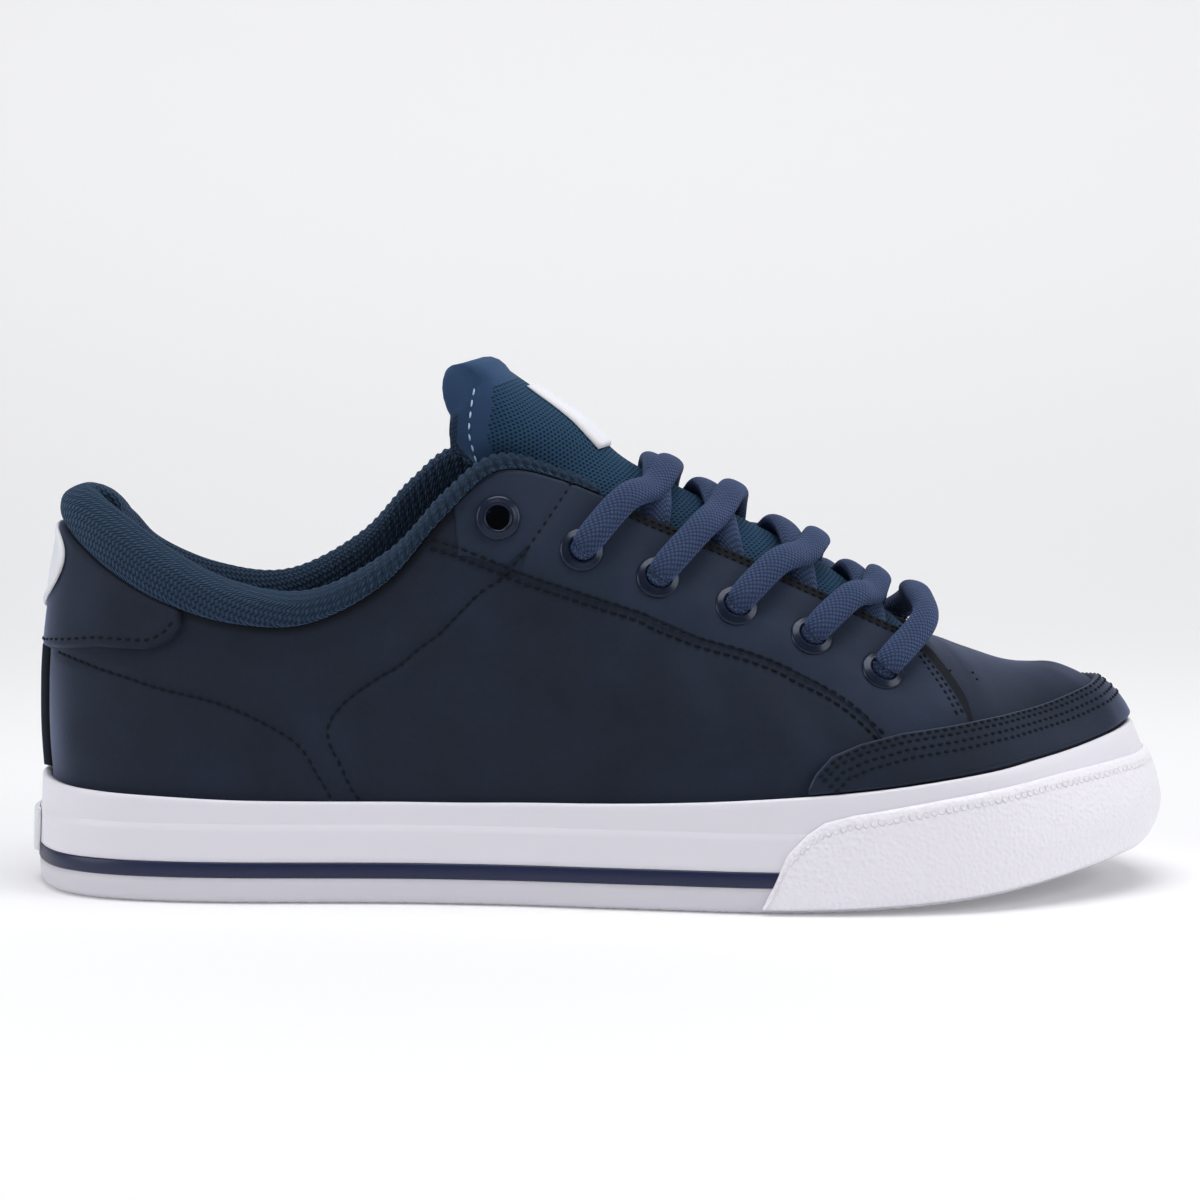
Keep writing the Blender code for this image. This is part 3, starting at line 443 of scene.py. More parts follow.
def grid_map(points):
    """Millimetres along the columns and along the rows, from a grid's own lengths."""
    across = np.linalg.norm(np.diff(points, axis=1), axis=2)
    along = np.linalg.norm(np.diff(points, axis=0), axis=2)
    u = np.concatenate([np.zeros((len(points), 1)), np.cumsum(across, 1)], 1)
    v = np.concatenate([np.zeros((1, points.shape[1])), np.cumsum(along, 0)], 0)
    u = u - u[:, points.shape[1] // 2][:, None]
    return np.stack([u, v], -1) * 1000


def open_for_editing(piece, kind, action):
    """Enters edit mode on one piece alone, in one select mode, with all or nothing selected."""
    bpy.ops.object.select_all(action="DESELECT")
    bpy.context.view_layer.objects.active = piece
    piece.select_set(True)
    bpy.ops.object.mode_set(mode="EDIT")
    bpy.ops.mesh.select_mode(type=kind)
    bpy.ops.mesh.select_all(action=action)


def tidy(piece, distance=0.002 * MM):
    """Merges the points that coincide and turns the faces outwards."""
    open_for_editing(piece, "VERT", "SELECT")
    bpy.ops.mesh.remove_doubles(threshold=distance)
    bpy.ops.mesh.normals_make_consistent(inside=False)
    bpy.ops.object.mode_set(mode="OBJECT")


def rings_object(name, rings, materials, slots=None, shade=None, ends=True):
    """A body from rings of points, its two ends closed by one face each."""
    rows, columns = rings.shape[:2]
    faces = grid_faces(rows, columns, close_columns=True)
    maps = grid_map(np.concatenate([rings, rings[:, :1]], 1))[:, :-1]
    piece = mesh_object(name, rings, faces, maps, materials, slots, shade)
    if ends:
        open_for_editing(piece, "VERT", "DESELECT")
        bpy.ops.mesh.select_non_manifold()
        bpy.ops.mesh.edge_face_add()
        bpy.ops.object.mode_set(mode="OBJECT")
    return piece


print("helpers ready")

# %% [markdown]
# ## Materials
# On a real shoe each finish is a different stuff: nubuck, knit, mesh, braid, rubber, lacquer.
# A material could be painted by hand or taken from photos. Here it is built from nodes, so
# its patterns stay sharp and keep their true size in millimetres. Colours are given as sRGB
# hex codes, and one function turns them into linear light.

# %% Material helpers


def srgb(text):
    """Linear colour of an sRGB hex code."""
    parts = [int(text[i:i + 2], 16) / 255 for i in (0, 2, 4)]
    return [p / 12.92 if p <= 0.04045 else ((p + 0.055) / 1.055) ** 2.4 for p in parts] + [1]


def feed(material, socket, value):
    """Links another node's output to a socket, or gives it a number or a hex colour."""
    if isinstance(value, bpy.types.NodeSocket):
        material.node_tree.links.new(value, socket)
    else:
        socket.default_value = srgb(value) if isinstance(value, str) else value


def add(material, kind, inputs=(), out=0, **settings):
    """Adds one node with its settings and inputs, and gives the output that is asked for."""
    node = material.node_tree.nodes.new("ShaderNode" + kind)
    for name, value in settings.items():
        setattr(node, name, value)
    for key, value in inputs.items() if isinstance(inputs, dict) else enumerate(inputs):
        feed(material, node.inputs[key], value)
    return node.outputs[out]


def new_material(name, colour, roughness, **values):
    """A principled material; what is the same all over is set on the shader's own sockets."""
    material = bpy.data.materials.new(name)
    material.use_nodes = True
    shader = material.node_tree.nodes["Principled BSDF"]
    for socket, value in {"Base Color": colour, "Roughness": roughness, **values}.items():
        feed(material, shader.inputs[socket.replace("_", " ")], value)
    return material, shader


FULL_TURN = 2 * math.pi
print("material helpers ready")

# %% [markdown]
# ## Nubuck and thread
# The upper is a synthetic nubuck, buffed until a very short nap stands up. The nap scatters
# light, so it looks matt, and paler where it is seen edge on, which the shader's sheen gives.
# A soft mottle of about 20 mm and a nap of about 1 mm, coarser than the real one so that it
# shows, keep it from looking like plastic. The shade attribute marks raw cut edges.

# %% Nubuck
RAW_EDGE = "06080C"


def make_nubuck(name, dark, light):
    """Nubuck between two tones, dark and without its nap where shade marks a raw edge."""
    material, shader = new_material(name, dark, 0.72, Sheen_Weight=0.60, Sheen_Roughness=0.42,
                                    Sheen_Tint="A4B0D6", Specular_IOR_Level=0.16)
    node = partial(add, material)
    place = node("TexCoord", out="Object")
    mottle = node("TexNoise", dict(Vector=place, Scale=1 / (20 * MM), Detail=4.0, Roughness=0.6))
    nap = node("TexNoise", dict(Vector=place, Scale=1 / (0.9 * MM), Detail=3.0, Roughness=0.6))
    spread = node("Math", [mottle, 1.6, -0.35], operation="MULTIPLY_ADD")
    edge = node("Attribute", out="Fac", attribute_name="shade")
    buffed = node("Mix", {0: spread, 6: dark, 7: light}, out=2, data_type="RGBA")
    colour = node("Mix", {0: edge, 6: buffed, 7: RAW_EDGE}, out=2, data_type="RGBA")
    feed(material, shader.inputs["Base Color"], colour)
    feed(material, shader.inputs["Sheen Weight"],
         node("Math", [edge, -0.68, 0.72], operation="MULTIPLY_ADD"))
    feed(material, shader.inputs["Roughness"],
         node("Math", [nap, 0.25, 0.62], operation="MULTIPLY_ADD"))
    feed(material, shader.inputs["Normal"], node("Bump", dict(Strength=0.30, Distance=0.12 * MM,
                                                              Height=nap)))
    return material


# buffed nubuck of the vamp and quarters: deep navy, matt, pale at grazing angles
NUBUCK = make_nubuck("navy_nubuck", "121924", "1C2535")
# the same nubuck on the eyestays, a tone paler
STAY_NUBUCK = make_nubuck("eyestay_nubuck", "1A2332", "252F42")
# bonded polyester thread: near black, a dull gloss
THREAD, _ = new_material("dark_thread", "0B0F17", 0.7, Specular_IOR_Level=0.15)
# painted shade along the seams: a dark matt strip in the groove, where the thread also presses the
# nubuck flat
SEAM_SHADE, _ = new_material("painted_seam_shade", "161E2B", 0.85, Specular_IOR_Level=0.15)
# pale blue thread of the tongue's tape: the one light line on the dark side
PALE_THREAD, _ = new_material("pale_blue_thread", "9FC4DC", 0.6)
print("nubuck", NUBUCK.name)

# %% [markdown]
# ## Knit and tape
# The collar is a polyester knit over foam. Real loops could be modelled, but at this size
# they would be millions of faces, so a bump draws them on the piece's own map: columns of
# small V loops, 1.75 by 1.3 mm, with some fuzz. The tape and the labels use the same loops
# at half a millimetre, too fine to count but enough to dull the light.

# %% Knit


def make_knit(name, dark, light, wide=1.75, tall=1.30, depth=0.65 * MM):
    """Knit of V loops, their width and height in mm; painted shade darkens the gaps between the loops
    and, where the shade attribute says, the valleys of its ribs.
    """
    material, shader = new_material(name, dark, 0.9, Sheen_Weight=0.35, Sheen_Roughness=0.5,
                                    Sheen_Tint="7FA0C8", Specular_IOR_Level=0.15)
    node = partial(add, material)
    place = node("TexCoord", out="Object")
    across, along = node("SeparateXYZ", [node("UVMap", uv_map="map")], out=slice(2))
    sway = node("TexNoise", dict(Vector=place, Scale=1 / (4 * MM), Detail=2.0, Roughness=0.5))
    wander = node("Math", [sway, 0.5, -0.25], operation="MULTIPLY_ADD")
    column = node("Math", [node("Math", [across, wide], operation="DIVIDE"), wander],
                  operation="ADD")
    inside = node("Math", [column, 0.5], operation="PINGPONG")
    course = node("Math", [along, tall], operation="DIVIDE")
    row = node("Math", [inside, 0.9, course], operation="MULTIPLY_ADD")
    wave, rib = (node("Math", [node("Math", [way, FULL_TURN], operation="MULTIPLY")],
                      operation="SINE") for way in (row, column))
    ribbed = node("Math", [rib, 0.18, 0.5], operation="MULTIPLY_ADD")
    loops = node("Math", [wave, 0.30, ribbed], operation="MULTIPLY_ADD")
    fuzz = node("TexNoise", dict(Vector=place, Scale=1 / (0.6 * MM), Detail=3.0, Roughness=0.7))
    height = node("Math", [fuzz, 0.5, loops], operation="MULTIPLY_ADD")
    rib_valley_shade = node("Attribute", out="Fac", attribute_name="shade")
    # painted shade: the gaps between the loops dark, their tips light
    loops_and_gap_shade = node("Mix", {0: loops, 6: dark, 7: light}, out=2, data_type="RGBA")
    # a deeper painted shade in the valleys of the ribs
    colour = node("Mix", {0: rib_valley_shade, 6: loops_and_gap_shade, 7: "0A121C"}, out=2, data_type="RGBA")
    feed(material, shader.inputs["Base Color"], colour)
    feed(material, shader.inputs["Normal"], node("Bump", dict(Strength=0.8, Distance=depth,
                                                              Height=height)))
    return material


# knitted polyester over foam: soft, no gloss, light tips and painted shade in the gaps between the loops
KNIT = make_knit("collar_knit", "0B1520", "2B4058")
# folded grosgrain tape round the tongue: smooth and a brighter navy than the mesh
BINDING = make_knit("binding_tape", "22354F", "2F486B", wide=0.5, tall=0.45, depth=0.10 * MM)
# woven satin label: cool white with a fine weave
LABEL = make_knit("label_weave", "DCDCE0", "F0F0F3", wide=0.5, tall=0.4, depth=0.06 * MM)
print("knit", KNIT.name, BINDING.name, LABEL.name)

# %% [markdown]
# ## Spacer mesh
# The tongue's face is polyester spacer mesh: a net of rows of oval pores, every second row
# moved by half a pore, with the dark foam behind. The pitch is 1.3 mm. A bump sinks the pores.

# %% Mesh


def make_mesh(name, dark, light, pitch=1.3):
    """Net of offset pores, the pitch in mm."""
    material, shader = new_material(name, light, 0.8, Sheen_Weight=0.14, Sheen_Roughness=0.5,
                                    Sheen_Tint="6FA8D8", Specular_IOR_Level=0.2)
    node = partial(add, material)
    across, along = node("SeparateXYZ", [node("UVMap", uv_map="map")], out=slice(2))
    row = node("Math", [along, pitch * 0.8], operation="DIVIDE")
    even = node("Math", [node("Math", [row], operation="FLOOR"), 1.0], operation="PINGPONG")
    moved = node("Math", [even, 0.5], operation="MULTIPLY")
    column = node("Math", [node("Math", [across, pitch], operation="DIVIDE"), moved],
                  operation="ADD")
    x, y = (node("Math", [node("Math", [node("Math", [node("Math", [way], operation="FRACT"),
                                                      0.5], operation="SUBTRACT")],
                               operation="ABSOLUTE"), 2.0], operation="POWER")
            for way in (column, row))
    flat = node("Math", [y, 1.3], operation="MULTIPLY")
    away = node("Math", [node("Math", [x, flat], operation="ADD")], operation="SQRT")
    net = node("MapRange", [away, 0.20, 0.42, 0.0, 1.0], interpolation_type="SMOOTHSTEP")
    feed(material, shader.inputs["Base Color"],
         node("Mix", {0: net, 6: dark, 7: light}, out=2, data_type="RGBA"))
    feed(material, shader.inputs["Normal"], node("Bump", dict(Strength=0.9, Distance=0.35 * MM,
                                                              Height=net)))
    return material


# spacer mesh: bright blue-navy filaments over dark pores
MESH = make_mesh("spacer_mesh", "050D16", "1C3F5C")
print("mesh", MESH.name)

# %% [markdown]
# ## Braid
# The lace is a polyester tube braided flat. Its plaits run both ways across it, so two waves
# on the cord's own map, 1.5 mm along by 1.3 mm across, are multiplied into small lozenges.

# %% Braid


def make_lace(name, dark, light, long=1.5, wide=1.3):
    """Braid of crossing plaits, their length and width in mm, with painted shade where the plaits dip.
    """
    material, shader = new_material(name, light, 0.75, Sheen_Weight=0.45, Sheen_Roughness=0.4,
                                    Sheen_Tint="90A8E0", Specular_IOR_Level=0.2)
    node = partial(add, material)
    across, along = node("SeparateXYZ", [node("UVMap", uv_map="map")], out=slice(2))
    plaits = []
    for way in ("ADD", "SUBTRACT"):
        parts = [node("Math", [along, long], operation="DIVIDE"),
                 node("Math", [across, wide], operation="DIVIDE")]
        turn = node("Math", [node("Math", parts, operation=way), math.pi], operation="MULTIPLY")
        plaits.append(node("Math", [node("Math", [turn], operation="SINE")],
                           operation="ABSOLUTE"))
    braid = node("Math", plaits, operation="MULTIPLY")
    fuzz = node("TexNoise", dict(Vector=node("TexCoord", out="Object"), Scale=1 / (0.5 * MM),
                                 Detail=3.0, Roughness=0.7))
    height = node("Math", [fuzz, 0.8, braid], operation="MULTIPLY_ADD")
    # painted shade: the plaits' crowns light, dark where they dip under one another
    feed(material, shader.inputs["Base Color"],
         node("Mix", {0: braid, 6: dark, 7: light}, out=2, data_type="RGBA"))
    feed(material, shader.inputs["Normal"], node("Bump", dict(Strength=0.75, Distance=0.35 * MM,
                                                              Height=height)))
    return material


# braided polyester: a tone bluer and lighter than the nubuck, with a soft sheen and painted shade
# between its plaits
LACE = make_lace("braided_lace", "1E2942", "384A6E")
print("braid", LACE.name)

# %% [markdown]
# ## Rubber
# The sole is vulcanised white rubber with a satin skin, faintly waved by the press. The toe
# bumper is the same rubber with a pebble grain of about 1.1 mm and a row of raised dots under
# its top edge. The shade attribute gives the distance below that edge in millimetres.

# %% Rubber
DOT_PITCH = 1.9
DOT_BELOW = 2.6


def make_rubber(name, colour, roughness, wave, depth, pebble=None):
    """Rubber with a fine waviness, and with a pebble grain and dots where pebble is given."""
    material, shader = new_material(name, colour, roughness, Specular_IOR_Level=0.4)
    node = partial(add, material)
    place = node("TexCoord", out="Object")
    fine = node("TexNoise", dict(Vector=place, Scale=1 / wave, Detail=3.0, Roughness=0.6))
    normal = node("Bump", dict(Strength=0.35, Distance=depth, Height=fine))
    if pebble:
        grain = node("TexVoronoi", dict(Vector=place, Scale=1 / pebble, Smoothness=0.6),
                     out="Distance", feature="SMOOTH_F1")
        normal = node("Bump", dict(Strength=0.9, Distance=0.30 * MM, Height=grain,
                                   Normal=normal))
        along = node("SeparateXYZ", [node("UVMap", uv_map="map")])
        turn = node("Math", [node("Math", [along, DOT_PITCH], operation="DIVIDE")],
                    operation="FRACT")
        x = node("Math", [turn, 0.5], operation="SUBTRACT")
        depth_under = node("Attribute", out="Fac", attribute_name="shade")
        lower = node("Math", [depth_under, DOT_BELOW], operation="SUBTRACT")
        y = node("Math", [lower, DOT_PITCH], operation="DIVIDE")
        squares = [node("Math", [way, way], operation="MULTIPLY") for way in (x, y)]
        away = node("Math", [node("Math", squares, operation="ADD")], operation="SQRT")
        dots = node("MapRange", [away, 0.30, 0.48, 1.0, 0.0], interpolation_type="SMOOTHSTEP")
        normal = node("Bump", dict(Strength=0.9, Distance=0.30 * MM, Height=dots,
                                   Normal=normal))
    feed(material, shader.inputs["Normal"], normal)
    return material


# vulcanised rubber of the wall: cool white with a satin gloss
WHITE_RUBBER = make_rubber("white_rubber", "DFDDE5", 0.42, 3.0 * MM, 0.05 * MM)
# the slab under it: a little greyer and duller
OUTSOLE_RUBBER = make_rubber("outsole_rubber", "D0CED6", 0.45, 3.0 * MM, 0.05 * MM)
# moulded grain of the toe bumper: the whitest and mattest of the three
GRAINED_RUBBER = make_rubber("grained_rubber", "EAE7EE", 0.50, 1.2 * MM, 0.06 * MM, 1.1 * MM)
# calendered navy strip: smooth, dark, slightly glossy
NAVY_RUBBER = make_rubber("navy_rubber", "161E40", 0.40, 2.0 * MM, 0.03 * MM)
print("rubber", WHITE_RUBBER.name)

# %% [markdown]
# ## Lacquer
# The eyelets are brass rings sprayed with dark lacquer. A thin coat over a rough base, worn
# unevenly in spots of about 2 mm, gives the few soft glints of the dark side.

# %% Lacquer
# sprayed lacquer on metal: near black, soft blue glints
LACQUER, lacquer_shader = new_material("dark_lacquer", "111827", 0.28, Coat_Weight=0.25,
                                       Coat_Roughness=0.18, Specular_IOR_Level=0.3,
                                       Specular_Tint="9FB2DC")
worn = add(LACQUER, "TexNoise", dict(Vector=add(LACQUER, "TexCoord", out="Object"),
                                     Scale=1 / (2.2 * MM), Detail=4.0, Roughness=0.7))
feed(LACQUER, lacquer_shader.inputs["Roughness"],
     add(LACQUER, "Math", [worn, 0.45, 0.12], operation="MULTIPLY_ADD"))
print("lacquer", LACQUER.name)

# %% [markdown]
# ## The sole
# A vulcanised cup sole: a flat outsole, a thin navy stripe, and a white wall with the fine
# line where its tape ends. Each could be an outline extruded upwards, but the wall leans in
# and the toe springs up, so rings of points follow both, and the edges are rounded.

# %% Sole rings
OUTSOLE_THICKNESS = 0.0068
STRIPE_LOW = 0.00695
STRIPE_TOP = 0.01035
CUP_STEP = 0.0105
FLOOR_TOP = 0.0120
TAPE_HEIGHT = 0.0200
TAPE_STEP = 0.0003
EDGE_ROUND = 0.0026
SOLE_U = np.linspace(0, LOOP, 42 * 12, endpoint=False)


def sole_rings(profile):
    """Rings of the sole from (height, inset) pairs; a height may be a function of u."""
    rings = [sole_points(SOLE_U, z(SOLE_U) if callable(z) else z, inset) for z, inset in profile]
    return np.array(rings)


def round_edge(radius, steps):
    """Quarter round from the underside to the wall, as (height, inset) pairs."""
    turns = np.linspace(0, math.pi / 2, steps)
    return [(radius * (1 - math.cos(t)), radius * (1 - math.sin(t))) for t in turns]


profile = [(0.0004, 0.0100), (0, 0.0096)] + round_edge(EDGE_ROUND, 8)
profile += [(0.0045, 0.0), (OUTSOLE_THICKNESS - 0.0002, 0.0), (OUTSOLE_THICKNESS, 0.0004),
            (OUTSOLE_THICKNESS, 0.006)]
rings = sole_rings(profile)


def add_tread(material, high=9 * MM, pitch=5 * MM, depth=1.2 * MM):
    """Herringbone grooves on what faces the ground: zigzags this high, and this far apart."""
    node = partial(add, material)
    shader = material.node_tree.nodes["Principled BSDF"]
    x, y = node("SeparateXYZ", [node("TexCoord", out="Object")], out=slice(2))
    zigzag = node("Math", [node("Math", [y, high], operation="DIVIDE"), 1.0],
                  operation="PINGPONG")
    row = node("Math", [node("Math", [x, pitch], operation="DIVIDE"), zigzag], operation="ADD")
    wave = node("Math", [node("Math", [row, FULL_TURN], operation="MULTIPLY")],
                operation="SINE")
    shade_strip = node("MapRange", [wave, -0.8, -0.2], interpolation_type="SMOOTHSTEP")
    facing = node("SeparateXYZ", [node("NewGeometry", out="Normal")], out=2)
    under = node("Math", [facing, -0.8], operation="LESS_THAN")
    height = node("Math", [shade_strip, under], operation="MULTIPLY")
    feed(material, shader.inputs["Normal"], node("Bump", dict(Strength=1.0, Distance=depth,
                                                              Height=height)))


add_tread(OUTSOLE_RUBBER)
outsole = rings_object("outsole_rubber", rings, [OUTSOLE_RUBBER])
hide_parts("outsole")
print("outsole", len(outsole.data.polygons))

# %% [markdown]
# ## Stripe and cup
# The stripe stands 0.2 mm proud of the wall, as a thin strip of calendered rubber does. The
# cup's wall steps in at the tape's end, 20 mm up, and turns over at the skin.

# %% Stripe and cup
rings = sole_rings([(STRIPE_LOW - 0.0002, 0.003), (STRIPE_LOW - 0.0002, 0.0),
                    (STRIPE_LOW + 0.0002, -0.0002), (STRIPE_TOP - 0.0002, -0.0002),
                    (STRIPE_TOP + 0.0002, 0.0), (STRIPE_TOP + 0.0002, 0.003)])
stripe = rings_object("stripe_rubber", rings, [NAVY_RUBBER])
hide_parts("foxing_stripe")

cup_profile = [(CUP_STEP, 0.006), (CUP_STEP, 0.0003), (CUP_STEP + 0.0003, 0.0)]
cup_profile += [(z, 0.0) for z in np.linspace(0.012, TAPE_HEIGHT - 0.0003, 6)]
cup_profile += [(TAPE_HEIGHT, 0.0003), (TAPE_HEIGHT + 0.0002, TAPE_STEP)]
for share in np.linspace(0.15, 1, 6):
    cup_profile.append((lambda u, k=share: TAPE_HEIGHT + (wall_top(u) - 0.0006 - TAPE_HEIGHT) * k,
                        TAPE_STEP))
cup_profile += [(lambda u: wall_top(u) - 0.0002, TAPE_STEP + 0.0002),
                (lambda u: wall_top(u), TAPE_STEP + 0.0008),
                (lambda u: wall_top(u) - 0.0004, TAPE_STEP + 0.0022),
                (FLOOR_TOP, TAPE_STEP + 0.0022)]
cup = rings_object("cup_rubber", sole_rings(cup_profile), [WHITE_RUBBER])
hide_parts("midsole_cup")
print("sole", [len(p.data.polygons) for p in (outsole, stripe, cup)])

# %% [markdown]
# ## Plates on the wall and on the skin
# A plate is a strip of material glued or sewn on: two grids, the near and the far face, with
# its rims closed. Its edge is rounded by thinning the last millimetre.

# %% Plates


def plate(name, near, far, materials, shade=None):
    """Closed plate between two like grids of points."""
    rows, columns = far.shape[:2]
    count = rows * columns
    top = grid_faces(rows, columns)
    index = np.arange(count).reshape(rows, columns)
    rim = np.concatenate([index[0], index[1:, -1], index[-1, -2::-1], index[-2:0:-1, 0]])
    after = np.roll(rim, -1)
    sides = np.stack([rim, rim + count, after + count, after], -1)
    low = grid_faces(rows, columns)[:, ::-1] + count
    faces = np.concatenate([top, sides, low])
    maps = grid_map(far)
    points = np.concatenate([far.reshape(-1, 3), near.reshape(-1, 3)])
    both = None if shade is None else np.concatenate([shade.ravel(), shade.ravel()])
    return mesh_object(name, points, faces, np.concatenate([maps.reshape(-1, 2)] * 2),
                       materials, shade=both)


def edge_fall(points, reach):
    """0 on a grid's rim rising to 1 at a distance inside it."""
    maps = grid_map(points)
    v = maps[..., 1]
    u = maps[..., 0]
    away = np.minimum.reduce([v, v[-1] - v, u - u[:, :1], u[:, -1:] - u])
    share = np.clip(away / reach, 0, 1)
    return np.sqrt(1 - (1 - share) ** 2)


print("plates ready")

# %% [markdown]
# ## Toe bumper and heel label
# The bumper is a strip of grained rubber wrapped round the toe, 1.5 mm thick and thinner
# towards its top, with a slanted rear end. Its top line rises to the toe. The heel label is a
# small moulded tab on the back of the wall, left plain.

# %% Bumper and label
BUMPER_THICK = 1.5 * MM
BUMPER_LINE = [(0.640, 0.08), (0.650, 0.31), (0.660, 0.58), (0.676, 0.77), (0.691, 0.89),
               (0.715, 0.96), (0.750, 1.02), (0.793, 1.10), (0.846, 1.18), (0.903, 1.27),
               (0.966, 1.34), (1.000, 1.36)]


def on_line(line, along):
    """Height of a line of (along, height) points."""
    return np.interp(along, [p[0] for p in line], [p[1] for p in line])


first = bisect(10, 16, lambda u: along_of(around(u)[..., 0]) < 0.6395, (1,))[0]
side = first + (TIP - first) * np.linspace(0, 1, 150) ** 1.25
places = np.concatenate([side, LOOP - side[-2::-1]])
x = around(places)[:, 0]
high = on_line(BUMPER_LINE, along_of(x)) * FOXING_HEIGHT - spring(x)
rows = np.linspace(0, 1, 44)[:, None]
heights = EDGE_ROUND * 0.5 + (high - EDGE_ROUND * 0.5) * rows
flat = sole_points(places, heights, -0.0003)
fall = edge_fall(flat, 2.2)
far = sole_points(places, heights, -0.3 * MM - BUMPER_THICK * fall * (1 - 0.55 * rows ** 2))
near = sole_points(places, heights, 0.3 * MM)
bumper = plate("bumper_rubber", near, far, [GRAINED_RUBBER], shade=(high - heights) * 1000)
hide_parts("toe_bumper")

places = np.linspace(LOOP - 0.85, LOOP + 0.85, 40)
heights = np.linspace(0.0082, 0.0196, 20)[:, None]
fall = edge_fall(sole_points(places, heights, 0.0), 0.8)
heel_label = plate("heel_label_cloth", sole_points(places, heights, -0.0002),
                   sole_points(places, heights, -0.0004 - 0.0012 * fall), [LABEL])
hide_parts("heel_label")
print("bumper", len(bumper.data.polygons))

# %% [markdown]
# ## The upper's skin
# One closed shell: outside face, rim and inside face, two millimetres apart, open under the
# ankle and along the throat. A sheet with a Solidify modifier would fold at the rim, so both
# faces are made. The holes for the eyelets are cut where the rings will sit.

# %% Skin
EYELET_HOLE = 4.3 * MM
EYELETS = [(0.416, 0.891), (0.487, 0.815), (0.552, 0.750), (0.619, 0.684), (0.683, 0.614),
           (0.743, 0.534)]
eyelet_u, eyelet_s = locate([(a * LENGTH * 1000, h * INSTEP_HEIGHT * 1000) for a, h in EYELETS])
SEATS = []
for side_u in (eyelet_u, other_side(eyelet_u)):
    SEATS.append((upper_points(side_u, eyelet_s), upper_normals(side_u, eyelet_s)))


def cut_holes(piece, radius=EYELET_HOLE):
    """Deletes the faces that the eyelet rings cover."""
    data = piece.data
    centres = np.empty(len(data.polygons) * 3)
    data.polygons.foreach_get("center", centres)
    centres = centres.reshape(-1, 3)
    hit = np.zeros(len(centres), bool)
    for points, normals in SEATS:
        for point, normal in zip(points, normals):
            gap = centres - point
            height = gap @ normal
            away = np.linalg.norm(gap - height[:, None] * normal, axis=1)
            hit |= (away < radius) & (np.abs(height) < 0.008)
    open_for_editing(piece, "FACE", "DESELECT")
    bpy.ops.object.mode_set(mode="OBJECT")
    data.polygons.foreach_set("select", hit)
    bpy.ops.object.mode_set(mode="EDIT")
    bpy.ops.mesh.delete(type="FACE")
    bpy.ops.object.mode_set(mode="OBJECT")
    return int(hit.sum())


print("eyelet seats", [len(points) for points, _ in SEATS])

# %% [markdown]
# ## The shell
# The rings run from under the foot up the outside, over the rim and down the inside. Only
# where the throat and the collar are open does the rim show its dark cut edge.

# %% Shell
skin_u = np.linspace(0, LOOP, 42 * 14, endpoint=False)
shares = np.linspace(0, 1, 68)[:, None]
outside = skin(skin_u, shares)
hidden = sole_points(skin_u, np.array([[FLOOR_TOP], [FLOOR_TOP + 0.004]]), 0.0028)
throat_open = (np.abs((skin_u + TIP) % LOOP - TIP) < THROAT_END - 1)[:, None] * [0, 0, 1.0]
rim = [skin(skin_u, 1.0, -WALL * (0.5 - 0.5 * math.cos(t)))
       + throat_open * 0.0007 * math.sin(t) for t in (0.8, math.pi / 2, 2.3)]
inside = upper_points(skin_u, shares[::-6]) - upper_normals(skin_u, shares[::-6]) * WALL
low_inside = sole_points(skin_u, np.array([[FLOOR_TOP + 0.004], [FLOOR_TOP + 0.002]]), 0.0048)
rings = np.concatenate([hidden, outside, rim, inside, low_inside])
edge = np.zeros(rings.shape[:2])
edge[2:70] = smooth(0.95, 0.99, shares) * 0.7 * throat_open[:, 2]
edge[70:] = 0.8 * throat_open[:, 2]
upper_skin = rings_object("upper_nubuck", rings, [NUBUCK], shade=edge, ends=False)
tidy(upper_skin)
removed = cut_holes(upper_skin)
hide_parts("upper")
print("upper faces", len(upper_skin.data.polygons), "cut", removed)

# %% [markdown]
# ## Overlays
# The toe cap, the heel patch, the strip down the back and the eyestays are second layers of
# the same nubuck, one to two millimetres thick, whose cut edges show as a fine dark line.
# They could be cut out of a copy of the skin, but then their edges would follow its faces in
# steps. Here the columns of each panel start and end on its own line.

# %% Overlays
TOE_CAP_LINE = [(0.670, 0.24), (0.684, 0.32), (0.698, 0.36), (0.722, 0.385), (0.757, 0.405),
                (0.801, 0.417), (0.845, 0.430), (0.894, 0.448), (0.928, 0.463), (0.947, 0.474),
                (1.000, 0.52)]
HEEL_PATCH_LINE = [(0.000, 0.555), (0.028, 0.570), (0.070, 0.584), (0.115, 0.583),
                   (0.129, 0.597), (0.139, 0.618), (0.149, 0.66), (0.160, 0.74)]
EYESTAY_LINE = [(0.390, 0.805), (0.417, 0.786), (0.450, 0.751), (0.503, 0.705), (0.537, 0.675),
                (0.588, 0.619), (0.622, 0.591), (0.656, 0.560), (0.690, 0.513), (0.723, 0.453),
                (0.745, 0.425), (0.801, 0.435), (0.845, 0.450)]
FLAP_FRONT_LINE = [(0.700, 2.00), (0.745, 0.80), (0.769, 0.615), (0.789, 0.569),
                   (0.801, 0.529), (0.812, 0.485), (0.821, 0.436), (0.850, 0.30)]
CAP_THICK = 1.9 * MM
PATCH_THICK = 2.0 * MM
STRIP_THICK = 2.1 * MM
STAY_THICK = 1.3 * MM
BAND = 3.0 * MM


def share_on_line(u, line):
    """Share at which each column crosses a line of (along, height) points."""
    def below(s):
        """Whether each place is still under the line."""
        points = upper_points(u, s)
        return points[..., 2] < on_line(line, along_of(points[..., 0])) * INSTEP_HEIGHT
    return bisect(0, 1, below, np.shape(u))


